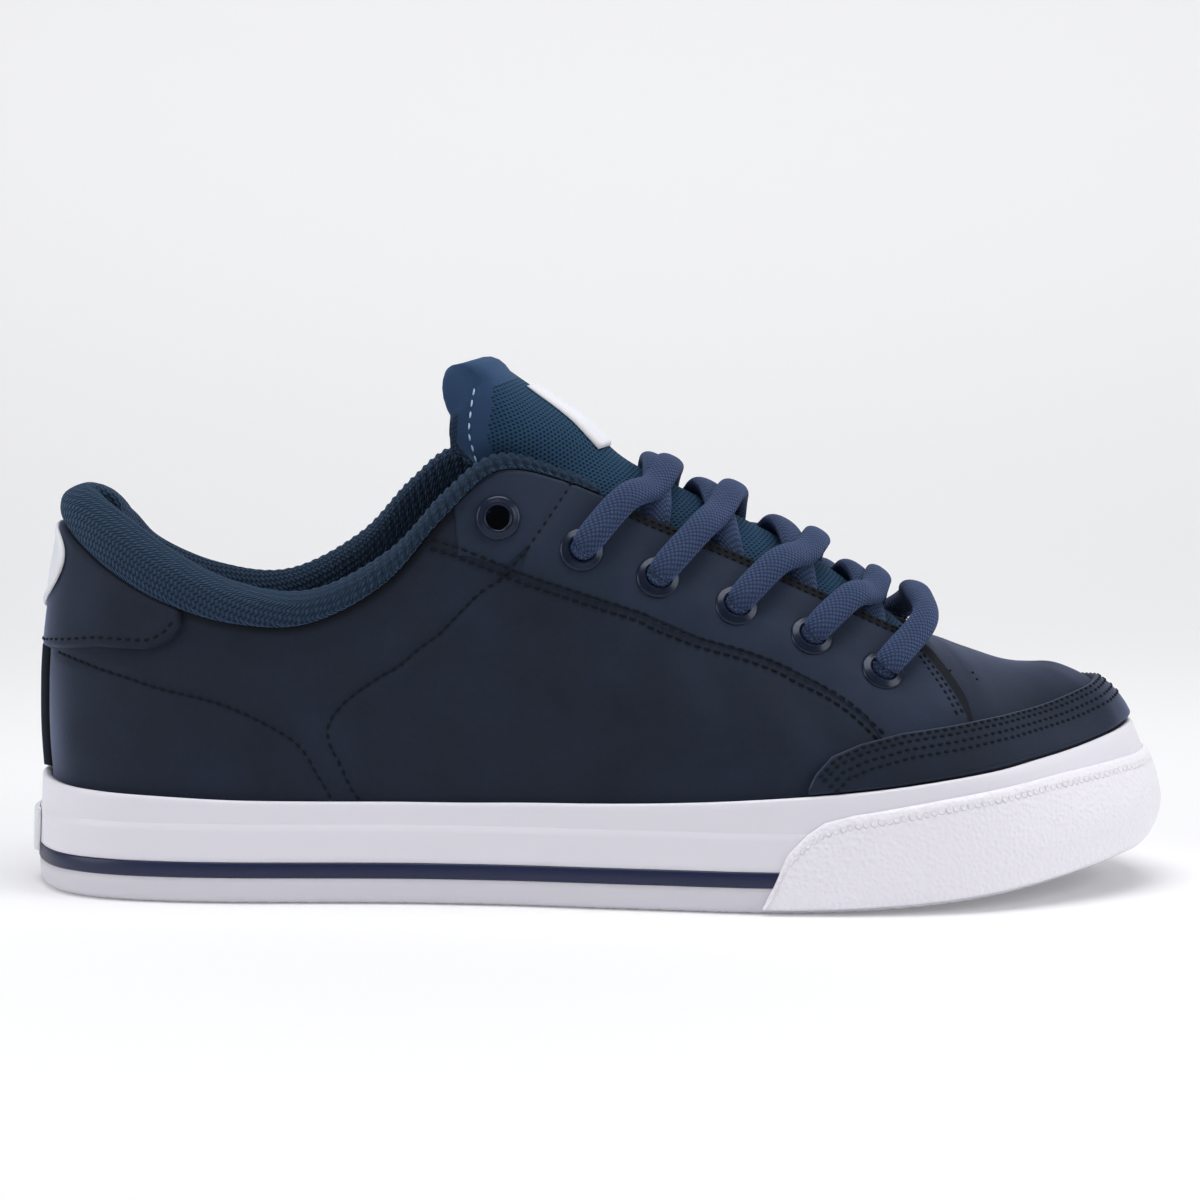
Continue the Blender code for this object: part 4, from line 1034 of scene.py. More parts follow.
def overlay(name, places, low, high, rows, thick, fall_mm, node, soft=0.0, grow=1.0, edge=0.75,
            band=0.0):
    """Second layer between two shares of each column; soft thins its lower edge."""
    step = np.linspace(0, 1, rows)[:, None]
    shares = low + (high - low) * step
    flat = upper_points(places, shares)
    fall = edge_fall(flat, fall_mm)
    lift = thick * fall * grow * (1 - soft * (1 - smooth(0, 0.35, step)))
    far = skin(places, shares, 0.00015 + lift)
    near = skin(places, shares, -0.0004)
    shade = (1 - smooth(0.35, 0.85, fall)) * edge * grow
    if band:
        reach = np.linalg.norm(upper_points(places, 1.0) - upper_points(places, 0.0), axis=1)
        front_line = [(a * LENGTH / MM, h * INSTEP_HEIGHT / MM) for a, h in FLAP_FRONT_LINE[1:]]
        away = distance_to(front_line, (flat[..., 0] + HEEL_SEAT) / MM, flat[..., 2] / MM) * MM
        away = np.minimum((high - shares) * reach, away * 1.3)
        throat = smooth(COLLAR_END - 0.1, COLLAR_END + 0.3, np.minimum(places, LOOP - places))
        shade = 0.88 * (1 - smooth(0.9, 1.1, away / band)) * throat
    piece = plate(name, near, far, [STAY_NUBUCK if band else NUBUCK], shade=shade)
    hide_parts(node)
    return piece


print("panel lines", len(TOE_CAP_LINE), len(HEEL_PATCH_LINE), len(EYESTAY_LINE))

# %% [markdown]
# ## Toe cap, heel patch and back strip
# Each panel is given where it starts and ends round the shoe. The first two cross over the
# tip and the back in one piece, as the real ones do, and the strip covers the heel's seam.

# %% Cap, patch and strip
start = bisect(11, 16, lambda u: share_on_line(u, TOE_CAP_LINE) < 0.03, (1,))[0]
side = start + (TIP - start) * np.linspace(0, 1, 130) ** 1.15
places = np.concatenate([side, LOOP - side[-2::-1]])
toe_cap = overlay("toe_cap_nubuck", places, np.full(places.shape, 0.004),
                  share_on_line(places, TOE_CAP_LINE), 44, CAP_THICK, 1.0, "toe_cap")

last = bisect(3, 6, lambda u: share_on_line(u, HEEL_PATCH_LINE) < 0.93, (1,))[0]
places = np.linspace(LOOP - last, LOOP + last, 130)
patch = overlay("heel_patch_nubuck", places, share_on_line(places, HEEL_PATCH_LINE),
                np.full(places.shape, 0.995), 44, PATCH_THICK, 1.6, "heel_patch")

places = np.linspace(LOOP - 0.42, LOOP + 0.42, 16)
strip = overlay("back_strip_nubuck", places, np.full(places.shape, 0.012),
                share_on_line(places, HEEL_PATCH_LINE) + 0.02, 50, STRIP_THICK, 0.8,
                "back_strip", edge=1.0)
print("cap, patch, strip", [len(p.data.polygons) for p in (toe_cap, patch, strip)])

# %% [markdown]
# ## Eyestays
# The eyestay carries the eyelets. Its lower edge is turned under and sewn, so it fades into
# the skin, and near the toe it slips under the cap. Along the throat and the front the raw
# edge shows as a dark band three millimetres wide.

# %% Eyestays
last = bisect(14, 17, lambda u: share_on_line(u, FLAP_FRONT_LINE)
              - share_on_line(u, EYESTAY_LINE) > 0.02, (1,))[0]
side = np.linspace(8.2, last, 150)
low = share_on_line(side, EYESTAY_LINE)
under_cap = share_on_line(side, [(a, h - 0.025) for a, h in TOE_CAP_LINE])
ahead = smooth(0.725, 0.755, along_of(upper_points(side, low)[:, 0]))
low = low + (np.minimum(low, under_cap) - low) * ahead
high = np.minimum(0.997, share_on_line(side, FLAP_FRONT_LINE))
stays = []
for name, node, places in (("eyestay_outer_nubuck", "eyestay_lateral", side),
                           ("eyestay_inner_nubuck", "eyestay_medial", other_side(side))):
    stay = overlay(name, places, low, high, 44, STAY_THICK, 0.9, node, soft=1.0,
                   grow=smooth(8.2, 9.4, side)[None], edge=0.0, band=BAND)
    cut_holes(stay)
    stays.append(stay)
print("eyestays", [len(p.data.polygons) for p in stays])

# %% [markdown]
# ## Collar
# Foam rolled in knit. Each ring lies across the top edge: it bulges over the outside, rounds
# over the crest and runs down inside the ankle. Towards the throat it thins to a cord, where
# the knit's rows are pulled into slanted ribs. A cloth simulation could puff it, but the photo
# shows its worn shape, so ten control points across the roll give it directly.

# %% Collar
RIB_PITCH = 2.5
RIB_HEIGHT = 0.34 * MM
collar_u = np.linspace(LOOP - COLLAR_END, LOOP + COLLAR_END, 620)
row = around(collar_u)
width, crest = row[:, 8:9], row[:, 9:10]
k = np.abs(collar_u - LOOP)[:, None]
depth = COLLAR_DEPTH * (1 - 0.72 * smooth(7.5, 9.5, k))
top = upper_points(collar_u, 1.0)
normal = upper_normals(collar_u, 1.0)
out = unit(normal * [1, 1, 0])
run = np.linalg.norm(top - upper_points(collar_u, 0.0), axis=1)[:, None]
deep = (1 - depth / run)[:, 0]
mid = (1 - depth / run / 2)[:, 0]
inner = WALL + 0.0008
up = np.array([[0, 0, 1.0]])


def inside_upper(share, distance):
    """Points of the collar's columns behind the skin."""
    return upper_points(collar_u, share) - upper_normals(collar_u, share) * distance


control = np.stack([
    top + up * 0.0002 + out * 0.0012,
    top + out * width * 0.20 + up * crest * 0.30,
    top + out * width * 0.10 + up * crest * 0.74,
    top - out * width * 0.32 + up * crest,
    top - out * width * 0.74 + up * crest * 0.82,
    top - out * width * 1.02 + up * crest * 0.28,
    inside_upper(mid, np.maximum(width * 1.0, inner * 1.3)),
    inside_upper(deep, np.maximum(width * 0.6, inner * 1.2)),
    inside_upper(deep, np.full(width.shape, inner * 0.9)),
    inside_upper(1.0, np.full(width.shape, inner * 0.9)),
], 1)
print("collar", len(control), "rings of", control.shape[1], "points")

# %% [markdown]
# ## The knit roll
# The control points are rounded into rings, the ribs are raised towards the throat, and both
# ends are drawn in to a point where the collar is sewn under the flap.

# %% Knit roll
turns = np.linspace(0, control.shape[1], 44, endpoint=False)
rings = np.array([between(ring, turns, True) for ring in control])
length = np.concatenate([[0], np.cumsum(np.linalg.norm(np.diff(rings[:, 10], axis=0), axis=1))])
slant = length[:, None] / MM / RIB_PITCH + turns[None] * 0.30
ribs = np.sin(slant * FULL_TURN) * RIB_HEIGHT * smooth(4.5, 8.0, k)
ribs = ribs * (1 - smooth(5.0, 7.0, turns)[None])
centre = rings.mean(1, keepdims=True)
rings = rings + unit(rings - centre) * ribs[..., None]
close = np.sqrt(np.clip((COLLAR_END - k) / 0.12, 0.02, 1))
rings = centre + (rings - centre) * close[..., None]
# painted shade in the valleys between the collar's ribs
rib_valley_shade = np.clip(-ribs / RIB_HEIGHT, 0, 1) * 0.85
collar = rings_object("collar_padding", rings, [KNIT], shade=rib_valley_shade)
tidy(collar)
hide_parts("collar")
print("collar faces", len(collar.data.polygons), "length", round(float(length[-1]), 3))

# %% [markdown]
# ## Tongue
# A pad of foam between spacer mesh in front and knit behind, its edge bound with tape. It is
# a saddle: it hugs the instep at the laces and curls back at its free end. A row of sections
# from the free end down to the vamp gives its crown, its sides, its width and its thickness.

# %% Tongue
TONGUE_WIDTH = 0.0520
TONGUE_THICKNESS = 0.0085
TONGUE_HEIGHT = 0.1350
TONGUE_TWIST = 0.20
# mid_along, mid_up, side_along, side_up, width, thick
TONGUE = np.array([
    (0.412, 0.996, 0.402, 0.980, 0.96, 1.20), (0.443, 0.950, 0.392, 0.920, 1.04, 1.45),
    (0.485, 0.890, 0.384, 0.840, 1.00, 1.40), (0.524, 0.811, 0.398, 0.740, 0.86, 0.90),
    (0.570, 0.757, 0.481, 0.615, 0.84, 0.70), (0.629, 0.694, 0.564, 0.545, 0.90, 0.60),
    (0.684, 0.630, 0.629, 0.478, 0.94, 0.52), (0.732, 0.560, 0.687, 0.415, 0.94, 0.45),
    (0.773, 0.490, 0.735, 0.365, 0.90, 0.40), (0.811, 0.423, 0.784, 0.330, 0.82, 0.36)])
SPREAD = math.radians(84)


def free_end(j):
    """1 at the tongue's head, 0 from where the laces hold it down."""
    return 1 - smooth(1.5, 4.0, j)


def tongue_points(j, turn):
    """Tongue's upper face at a section and a turn from its crown."""
    j, turn = np.broadcast_arrays(np.asarray(j, float), np.asarray(turn, float))
    row = between(TONGUE, j, False)
    drop = 1 - np.cos(turn)
    x = (row[..., 0] + (row[..., 2] - row[..., 0]) * drop) * LENGTH - HEEL_SEAT
    y = 0.5 * row[..., 4] * TONGUE_WIDTH * np.sin(turn)
    z = (row[..., 1] + (row[..., 3] - row[..., 1]) * drop) * TONGUE_HEIGHT
    bend = np.sqrt(y * y + 0.006 ** 2)
    return np.stack([x, y, z - TONGUE_TWIST * (y + bend) / 2 * free_end(j)], -1)


def tongue_normals(j, turn):
    """Directions straight out of the tongue's upper face."""
    run = tongue_points(j + 0.02, turn) - tongue_points(j - 0.02, turn)
    across = tongue_points(j, turn + 0.02) - tongue_points(j, turn - 0.02)
    return unit(np.cross(run, across))


print("tongue reaches", np.round(tongue_points(0.4, 0.0), 4))

# %% [markdown]
# ## The pad
# Each ring has a front face, a narrow side, a rear face and the other side. The head is
# thicker, as its foam swells where no lace holds it down.

# %% Pad
FRONT, SIDE, REAR = 90, 4, 45
sections = np.concatenate([np.linspace(0.40, 1, 9)[:-1], np.linspace(1, 9, 90)])
front = np.linspace(-SPREAD, SPREAD, FRONT)
back = front[::-2]


def edge_drop(turn, j, thick):
    """How far a face falls towards the pad's side, so that its edge is rounded."""
    half = 0.5 * between(TONGUE, np.array([j]), False)[0, 4] * TONGUE_WIDTH
    radius = min(3.2 * MM, 0.42 * thick)
    away = np.clip(half * (1 - np.abs(np.sin(turn))) / radius, 0, 1)
    return radius * (1 - np.sqrt(1 - (1 - away) ** 2))


def end_face(first, last, side):
    """Four points of the pad's narrow side, bulged outwards."""
    share = np.linspace(0.2, 0.8, SIDE)[:, None]
    out = np.array([0, side, 0]) * 1.2 * MM * 4 * share * (1 - share)
    return first + (last - first) * share + out


rows = []
for j in sections:
    jj = np.full(front.shape, j)
    thick = between(TONGUE, np.array([j]), False)[0, 5] * TONGUE_THICKNESS
    thick = thick + 0.0022 * float(free_end(j))
    face = tongue_points(jj, front) - tongue_normals(jj, front) * edge_drop(front, j, thick)[:, None]
    kk = np.full(back.shape, j)
    thin = np.maximum(1 - 0.45 * np.abs(back / SPREAD) ** 3, free_end(j) * 0.9)
    facing = tongue_normals(kk, back * (1 - 0.5 * free_end(j)))
    deep = thick * thin - edge_drop(back, j, thick) * free_end(j)
    deep = deep + 0.0020 * free_end(j) * smooth(0.2, 1.2, -back)
    rear = tongue_points(kk, back * 0.985) - facing * deep[:, None]
    belly = 0.0012 * np.cos(back / SPREAD * math.pi / 2) * float(free_end(j))
    rear = rear - facing * belly[:, None]
    rows.append(np.concatenate([face, end_face(face[-1], rear[0], 1), rear,
                                end_face(rear[-1], face[0], -1)]))
rings = np.array(rows)
for _ in range(2):
    rings = 0.5 * rings + 0.25 * (np.roll(rings, 1, 1) + np.roll(rings, -1, 1))
near_edge = 0.5 * (rings[:, -1] + rings[:, 0])
far_edge = 0.5 * (rings[:, FRONT] + rings[:, FRONT - 1])
print("pad rings", rings.shape)

# %% [markdown]
# ## The tongue's head and its cloths
# The free end is closed by rings that shrink towards the pad's middle while they rise, like
# a pillow's end. Then each face is given its cloth: mesh between the two tapes, tape round
# the rim and over the head, knit behind.

# %% Head and cloths
HEAD_RISE = 9.0 * MM
head = rings[0]
front_head, rear_head = head[:FRONT], head[FRONT + SIDE:FRONT + SIDE + REAR]
even = np.linspace(0, 1, FRONT)
opposite = np.stack([np.interp(even, np.linspace(0, 1, REAR), rear_head[::-1][:, axis])
                     for axis in range(3)], -1)
middle = np.concatenate([(front_head + opposite) / 2,
                         np.repeat([(front_head[-1] + rear_head[0]) / 2], SIDE, 0),
                         (rear_head + front_head[::-2]) / 2,
                         np.repeat([(front_head[0] + rear_head[-1]) / 2], SIDE, 0)])
middle = middle + (middle.mean(0) - middle) * 0.12
rise_way = unit(rings[0].mean(0) - rings[6].mean(0))
caps = [middle + (head - middle) * math.cos(t) + rise_way * HEAD_RISE * math.sin(t)
        for t in (1.50, 1.30, 1.05, 0.80, 0.50, 0.25)]
rings = np.concatenate([np.array(caps), rings])
# degrees from the crown at which the tape begins, at four sections
limit = np.radians(np.interp(np.concatenate([np.zeros(len(caps)), sections]), [0, 1, 2, 9],
                             [57, 69, 78, 80]))
zone = np.full((rings.shape[0] - 1, rings.shape[1]), 1)
zone[:, :FRONT - 1] = np.where(np.abs(front[:-1])[None] < limit[:-1, None], 0, 1)
zone[:, FRONT + 2:FRONT + SIDE + REAR + 1] = 2
zone[:len(caps) + 4] = 1
tongue = rings_object("tongue_padding", rings, [MESH, BINDING, KNIT], slots=zone)
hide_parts("tongue")

print("tongue faces", len(tongue.data.polygons))

# %% [markdown]
# ## Tongue label
# A woven label sewn flat on the mesh, left plain. It follows the tongue's face, so it is a
# plate between two grids read off that face.

# %% Tongue label
turn = np.linspace(-0.42, 0.42, 24)
where = np.linspace(1.0, 2.7, 40)[:, None]
flat = tongue_points(where, turn)
facing = tongue_normals(where, turn)
fall = edge_fall(flat, 0.6)[..., None]
tongue_label = plate("tongue_label_cloth", flat + facing * 0.0002,
                     flat + facing * (0.0004 + 0.0008 * fall), [LABEL])
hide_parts("tongue_label")
print("label faces", len(tongue_label.data.polygons))

# %% [markdown]
# ## Insole
# The sock liner shows down the ankle's opening: a thin fabric-covered sheet, dished a little.
# Its rings follow the cup's outline, inset, and close along the spine of the sole.

# %% Insole
INSOLE_LOW = FLOOR_TOP + 0.0026
rings = sole_rings([(INSOLE_LOW + rise, inset) for rise, inset in
                    ((0.0, 0.0062), (0.002, 0.0056), (0.0038, 0.0062), (0.0036, 0.010))])
spine = rings[-1].copy()
spine[:, 1] *= 0.02
for share in (0.3, 0.6, 0.85, 1.0):
    ring = rings[3] + (spine - rings[3]) * share
    ring[:, 2] -= 0.0007 * share
    rings = np.concatenate([rings, ring[None]])
insole = rings_object("insole_cloth", rings, [KNIT])
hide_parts("insole")
print("insole faces", len(insole.data.polygons))

# %% [markdown]
# ## Badge
# A round plain patch on the heel, its rim overcast with thick thread. A disc could be shrunk
# onto the skin by a modifier, but rings found on the skin itself keep the rim evenly round.

# %% Badge
BADGE_RADIUS = 10.5 * MM
BADGE_HEIGHT = 81.5 * MM
BADGE_STRETCH = 1.15
RIM_THREADS = 72
turns = np.linspace(0, FULL_TURN, 144, endpoint=False)
rings = []
for share, lift in ((1.0, 0.0), (1.05, 0.5), (1.0, 1.1), (0.93, 1.3), (0.86, 1.0), (0.83, 0.7),
                    (0.6, 0.7), (0.3, 0.7), (0.04, 0.7)):
    z = BADGE_HEIGHT + BADGE_RADIUS * share * np.sin(turns)
    y = BADGE_RADIUS * BADGE_STRETCH * share * np.cos(turns)

    def side_of(u):
        """Whether a place is still short of the disc's edge."""
        return -upper_points(u, share_at_height(u, z))[..., 1] < y

    u = bisect(LOOP - 2, LOOP + 2, side_of, turns.shape)
    s = share_at_height(u, z)
    ridge = 0.12 * MM * np.sin(turns * RIM_THREADS) * (share > 0.84)
    rings.append(skin(u, s, 0.0022 + 0.0009 * lift + ridge))
badge = rings_object("badge_cloth", np.array(rings), [LABEL])
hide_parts("heel_badge")
print("badge faces", len(badge.data.polygons))

# %% [markdown]
# ## Eyelets
# A pressed brass ring: a rolled inner lip, a flange that slopes outwards and a barrel through
# the leather. It could be cut from a cylinder, but it is a turned shape, so a circle is
# extruded and resized from one radius of its profile to the next. It is modelled once, and
# each copy is set square to the skin at its own seat.

# %% Eyelets
RING = [(r * MM, z * MM) for r, z in (
    (3.55, -2.6), (3.0, -2.4), (2.95, 1.5), (3.1, 2.2), (3.5, 2.55), (3.9, 2.45),
    (4.3, 2.2), (4.9, 2.05), (5.3, 1.85), (5.58, 1.5), (5.6, 1.1), (3.7, 1.0))]


def turned_ring(profile):
    """A circle extruded and resized from one (radius, height) to the next, back to its start."""
    bpy.ops.object.select_all(action="DESELECT")
    bpy.ops.mesh.primitive_circle_add(vertices=56, radius=profile[0][0], location=(0, 0, 0))
    piece = bpy.context.object
    bpy.ops.object.mode_set(mode="EDIT")
    bpy.ops.mesh.select_all(action="SELECT")
    bpy.ops.transform.translate(value=(0, 0, profile[0][1]))
    for (r, z), (next_r, next_z) in zip(profile, profile[1:] + profile[:1]):
        bpy.ops.mesh.extrude_edges_move(TRANSFORM_OT_translate={"value": (0, 0, next_z - z)})
        bpy.ops.transform.resize(value=(next_r / r, next_r / r, 1),
                                 center_override=(0, 0, next_z))
    bpy.ops.object.mode_set(mode="OBJECT")
    tidy(piece, 0.001 * MM)
    return piece


pattern = turned_ring(RING)
for which, (points, normals) in zip(("lateral", "medial"), SEATS):
    for number, (point, normal) in enumerate(zip(points, normals), 1):
        a = unit(np.cross(normal, [1.0, 0, 0]))
        b = np.cross(normal, a)
        data = pattern.data.copy()
        data.name = f"ring_{which}_{number}"
        data.transform(Matrix([[*row, at] for row, at in zip(zip(a, b, normal), point)]
                              + [[0, 0, 0, 1]]))
        data.shade_smooth()
        data.materials.append(LACQUER)
        ring = bpy.data.objects.new(f"ring_{which}_{number}", data)
        bpy.context.scene.collection.objects.link(ring)
        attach(ring, "root")
        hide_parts(f"eyelet_{which}_{number}")
bpy.data.objects.remove(pattern)
print("eyelets", 2 * len(eyelet_u))

# %% [markdown]
# ## Lace
# Two strands cross between each pair of rows. A strand comes up through its eyelet, squeezed
# round, opens into a flat oval over the edge of the flap, crosses the tongue and goes under
# the other flap to the next eyelet, so the lace is one run from the bar at the toe. A curve
# with a bevel would twist and keep one section, so each cord is rings that turn with the
# surface below. Its ends stop hidden at the top eyelets.

# %% Lace
LACE_THICKNESS = 4.0 * MM
LACE_REST = STAY_THICK + 0.4 * MM + LACE_THICKNESS / 2


def edge_point(x, side, lift):
    """Point over the throat's edge at an x."""
    u = bisect(8, 15, lambda v: upper_points(v, 1.0)[..., 0] < x, (1,))
    u = u if side < 0 else other_side(u)
    return (upper_points(u, 1.0) + upper_normals(u, 1.0) * lift)[0], upper_normals(u, 1.0)[0]


def over_tongue(x, y, lift):
    """Point over the tongue's upper face above a place, and the face's normal."""
    def turn_at(j):
        """Turn from the crown at which a section reaches y."""
        half = 0.5 * between(TONGUE, j, False)[..., 4] * TONGUE_WIDTH
        return np.arcsin(np.clip(y / half, -0.98, 0.98))
    j = bisect(0.5, 9, lambda v: tongue_points(v, turn_at(v))[..., 0] < x, (1,))
    normal = tongue_normals(j, turn_at(j))
    return (tongue_points(j, turn_at(j)) + normal * lift)[0], normal[0]


def strand(name, route, node, count=110):
    """Flat oval cord through (point, facing, half width, half thickness) rows."""
    table = np.array([np.concatenate([p, f, [w, t]]) for p, f, w, t in route])
    step = np.linalg.norm(np.diff(table[:, :3], axis=0), axis=1)
    at = np.concatenate([[0], np.cumsum(step)])
    even = np.linspace(0, at[-1], count)
    fine = between(table, np.interp(even, at, np.arange(len(at))), False)
    for _ in range(14):
        fine[1:-1] = 0.5 * fine[1:-1] + 0.25 * (fine[2:] + fine[:-2])
    centre = fine[:, :3]
    ahead = unit(np.gradient(centre, axis=0))
    across = unit(np.cross(ahead, unit(fine[:, 3:6])))
    over = np.cross(across, ahead)
    turn = np.linspace(0, FULL_TURN, 28, endpoint=False)
    c, s = np.cos(turn), np.sin(turn)
    c = np.sign(c) * np.abs(c) ** 0.85
    ring = (centre[:, None] + across[:, None] * (c[None] * fine[:, 6:7])[..., None]
            + over[:, None] * (s[None] * fine[:, 7:8])[..., None])
    piece = rings_object(name, ring, [LACE])
    tidy(piece)
    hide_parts(node)
    run = np.linalg.norm(np.diff(centre, axis=0), axis=1).sum()
    print(name, "length", round(float(run), 4))
    return piece


print("lace rests", round(LACE_REST, 4), "above the skin")

# %% [markdown]
# ## Crossings
# The near strand of each pair lies on top. Each leans a little differently, as pulled laces
# do, and the numbers for that come from where the photo shows their crowns.

# %% Crossings
# half width and half thickness where the lace lies open, where it crosses and in an eyelet
FULL = (0.0037, 0.0024)
CROSSING = (0.0038, 0.0021)
TIGHT = (0.0030, 0.0029)


def out_of_eyelet(seat, normal, toward, edge, edge_normal):
    """The cord's first four places: behind the eyelet, in it, bending over, on the edge."""
    return [(seat - normal * 0.008, toward, *TIGHT),
            (seat + normal * 0.0002, toward, *TIGHT),
            (seat + normal * 0.0040 + toward * 0.0016, unit(normal - 0.4 * toward), *FULL),
            (edge, edge_normal, *FULL)]


# how far towards the toe each near strand passes its next eyelet, and its lift at the crown
LEANS = [(0.0020, 0.0016), (-0.0015, 0.0030), (0.0015, 0.0022), (-0.0010, 0.0030)]
# how far towards the toe each far strand leaves its eyelet
FAR_LEANS = [0.0170, 0.0036, 0.0044, 0.0054]
laces = []
for row in range(1, 5):
    for name, side in (("over", -1), ("under", 1)):
        near_side, far_side = (0, 1) if side < 0 else (1, 0)
        past, lift = LEANS[row - 1] if side < 0 else (0, 0.0002)
        centre, normal = (part[row] for part in SEATS[near_side])
        goal, goal_normal = (part[row + 1] for part in SEATS[far_side])
        lean = 0.0098 if side < 0 else FAR_LEANS[row - 1]
        edge, edge_normal = edge_point(centre[0] + lean, side, LACE_REST + 0.0008)
        toward = unit(edge - centre)
        route = out_of_eyelet(centre, normal, toward, edge, edge_normal)
        for share in (-0.50, -0.20, 0.10, 0.38, 0.62):
            gone = float(smooth(-1.1, 0.1, share)) if side < 0 else (share + 1) / 2
            x = edge[0] + (goal[0] + past * (1 - share) - edge[0]) * gone
            height = 0.0009 + CROSSING[1] + lift * (1 - share ** 4)
            point, facing = over_tongue(x, -side * TONGUE_WIDTH / 2 * share, height)
            route.append((point, facing, *CROSSING))
        hide, hide_normal = edge_point(goal[0] + 0.0005, -side, -0.0042)
        route.append((hide, hide_normal, *FULL))
        route.append((goal - goal_normal * 0.0062, goal_normal, 0.0036, 0.0020))
        laces.append(strand(f"lace_{name}_{row}", route, f"lace_cross_{row}"))

print("strands", len(laces))

# %% [markdown]
# ## The bar
# At the toe the lace goes straight across, from one bottom eyelet to the other, and stands
# off the tongue. One half is routed, and the other is its mirror.

# %% Bar
seat, normal = (part[-1] for part in SEATS[0])
edge, edge_normal = edge_point(seat[0] + 0.0085, -1, LACE_REST + 0.0022)
toward = unit(edge - seat)
crown = edge + np.array([-0.0006, 0, 0.0046])
half_route = out_of_eyelet(seat, normal, toward, edge, edge_normal)
half_route.append((np.array([crown[0] + 0.0005, -0.008, crown[2]]), np.array([0.3, 0, 1.0]),
                   *FULL))
flip = np.array([1, -1, 1])
mirror = [(p * flip, f * flip, w, t) for p, f, w, t in half_route[::-1]]
laces.append(strand("lace_bar_cord", half_route + mirror, "lace_bar"))
print("laces", len(laces))

# %% [markdown]
# ## Stitches
# Every seam is a row of short thick threads, each sunk a little between two needle holes, over a strip
# of painted shade in the groove where the thread pulls the nubuck down. A bump could draw them, but
# their ends would not show in the outline. The rows are measured off the same lines as the seams.

# %% Stitches
# half width of the strip of painted shade along each seam
SHADE_STRIP_HALF = 0.45 * MM
STITCHES = []
SEAM_SHADE_STRIPS = []


def sew(u, s, offset, pitch=2.5, length=1.9, thick=0.31, both_sides=True, shade_strip=True):
    """Adds a row of stitches, sized in mm, along a path on the skin, and on the inner side."""
    for uu in (u, other_side(u)) if both_sides else (u,):
        cu, cs = resample(uu, s, pitch * MM)
        points = skin(cu, cs, offset)
        normals = upper_normals(cu, cs)
        ahead = unit(np.gradient(points, axis=0))
        for p, n, a in zip(points, normals, ahead):
            STITCHES.append((p, n, a, length * MM / 2, thick * MM))
        # a strip of painted shade along the row, in its groove
        if shade_strip:
            gu, gs = resample(uu, s, 0.8 * MM)
            points = skin(gu, gs, offset + 0.00005)
            normals = upper_normals(gu, gs)
            across = np.cross(normals, unit(np.gradient(points, axis=0)))
            SEAM_SHADE_STRIPS.append(np.stack([points + across * SHADE_STRIP_HALF * k for k in (-1, 0, 1)], 0))


def cap_edge(inset, sides_u):
    """Path on the toe cap at a distance inside its edge."""
    return beside(sides_u, share_on_line(sides_u, TOE_CAP_LINE), -inset)


print("needle ready")

# %% [markdown]
# ## The seams
# Single rows join the quarter's panels, a double row holds the eyestay, four close rows cross
# the toe cap, and finer double rows run along the throat and the flap's front.

# %% Seams
FINE = dict(pitch=2.0, length=1.5, shade_strip=False)
ON_SKIN = 0.15 * MM
path_a = resample(*locate(SEAM_A), 0.001)
path_b = resample(*locate(SEAM_B), 0.001)
path_e = resample(*locate(EYESTAY), 0.001)
sew(*path_a, 0.0)
# seam B starts on the eyestay and leaves it after about a quarter of its length
on_stay = int(len(path_b[0]) * 0.26)
sew(*(part[:on_stay] for part in path_b), STAY_THICK)
sew(*(part[on_stay:] for part in path_b), 0.0)
sew(*path_e, 0.0006, shade_strip=False)
sew(*beside(*path_e, -0.0021), 0.00025, shade_strip=False)


side = np.linspace(start + 0.12, LOOP - start - 0.12, 260)
for inset in (0.0012, 0.0026, 0.0046, 0.0066):
    sew(*cap_edge(inset, side), CAP_THICK + ON_SKIN, pitch=2.1, length=1.55, both_sides=False,
        shade_strip=False)

last_patch = bisect(3, 6, lambda u: share_on_line(u, HEEL_PATCH_LINE) < 0.90, (1,))[0]
side = np.linspace(LOOP - last_patch, LOOP + last_patch, 140)
sew(*beside(side, share_on_line(side, HEEL_PATCH_LINE), 0.0022), PATCH_THICK + ON_SKIN,
    both_sides=False, shade_strip=False)

FLAP_SEAM = [(221.5, 66.8), (226.2, 61.1), (229.6, 56.8), (232.9, 52.1), (235.4, 47.6)]
path = resample(*locate(FLAP_SEAM), 1.0 * MM)
sew(*path, STAY_THICK + 0.1 * MM, **FINE)
sew(*beside(*path, -0.0016), STAY_THICK + 0.1 * MM, **FINE)

edge_u = np.linspace(10.7, 14.6, 60)
reach = np.linalg.norm(upper_points(edge_u, 1.0) - upper_points(edge_u, 0.0), axis=1)
for inset in (0.0014, 0.0028):
    sew(edge_u, 1 - inset / reach, STAY_THICK + 0.1 * MM, **FINE)
print("stitches", len(STITCHES), "shade_strips", len(SEAM_SHADE_STRIPS))

# %% [markdown]
# ## Threads
# One stitch is a capsule of 36 points. All of them are placed at once with arrays and joined
# into one mesh, since a thousand objects would be slow to handle.

# %% Threads


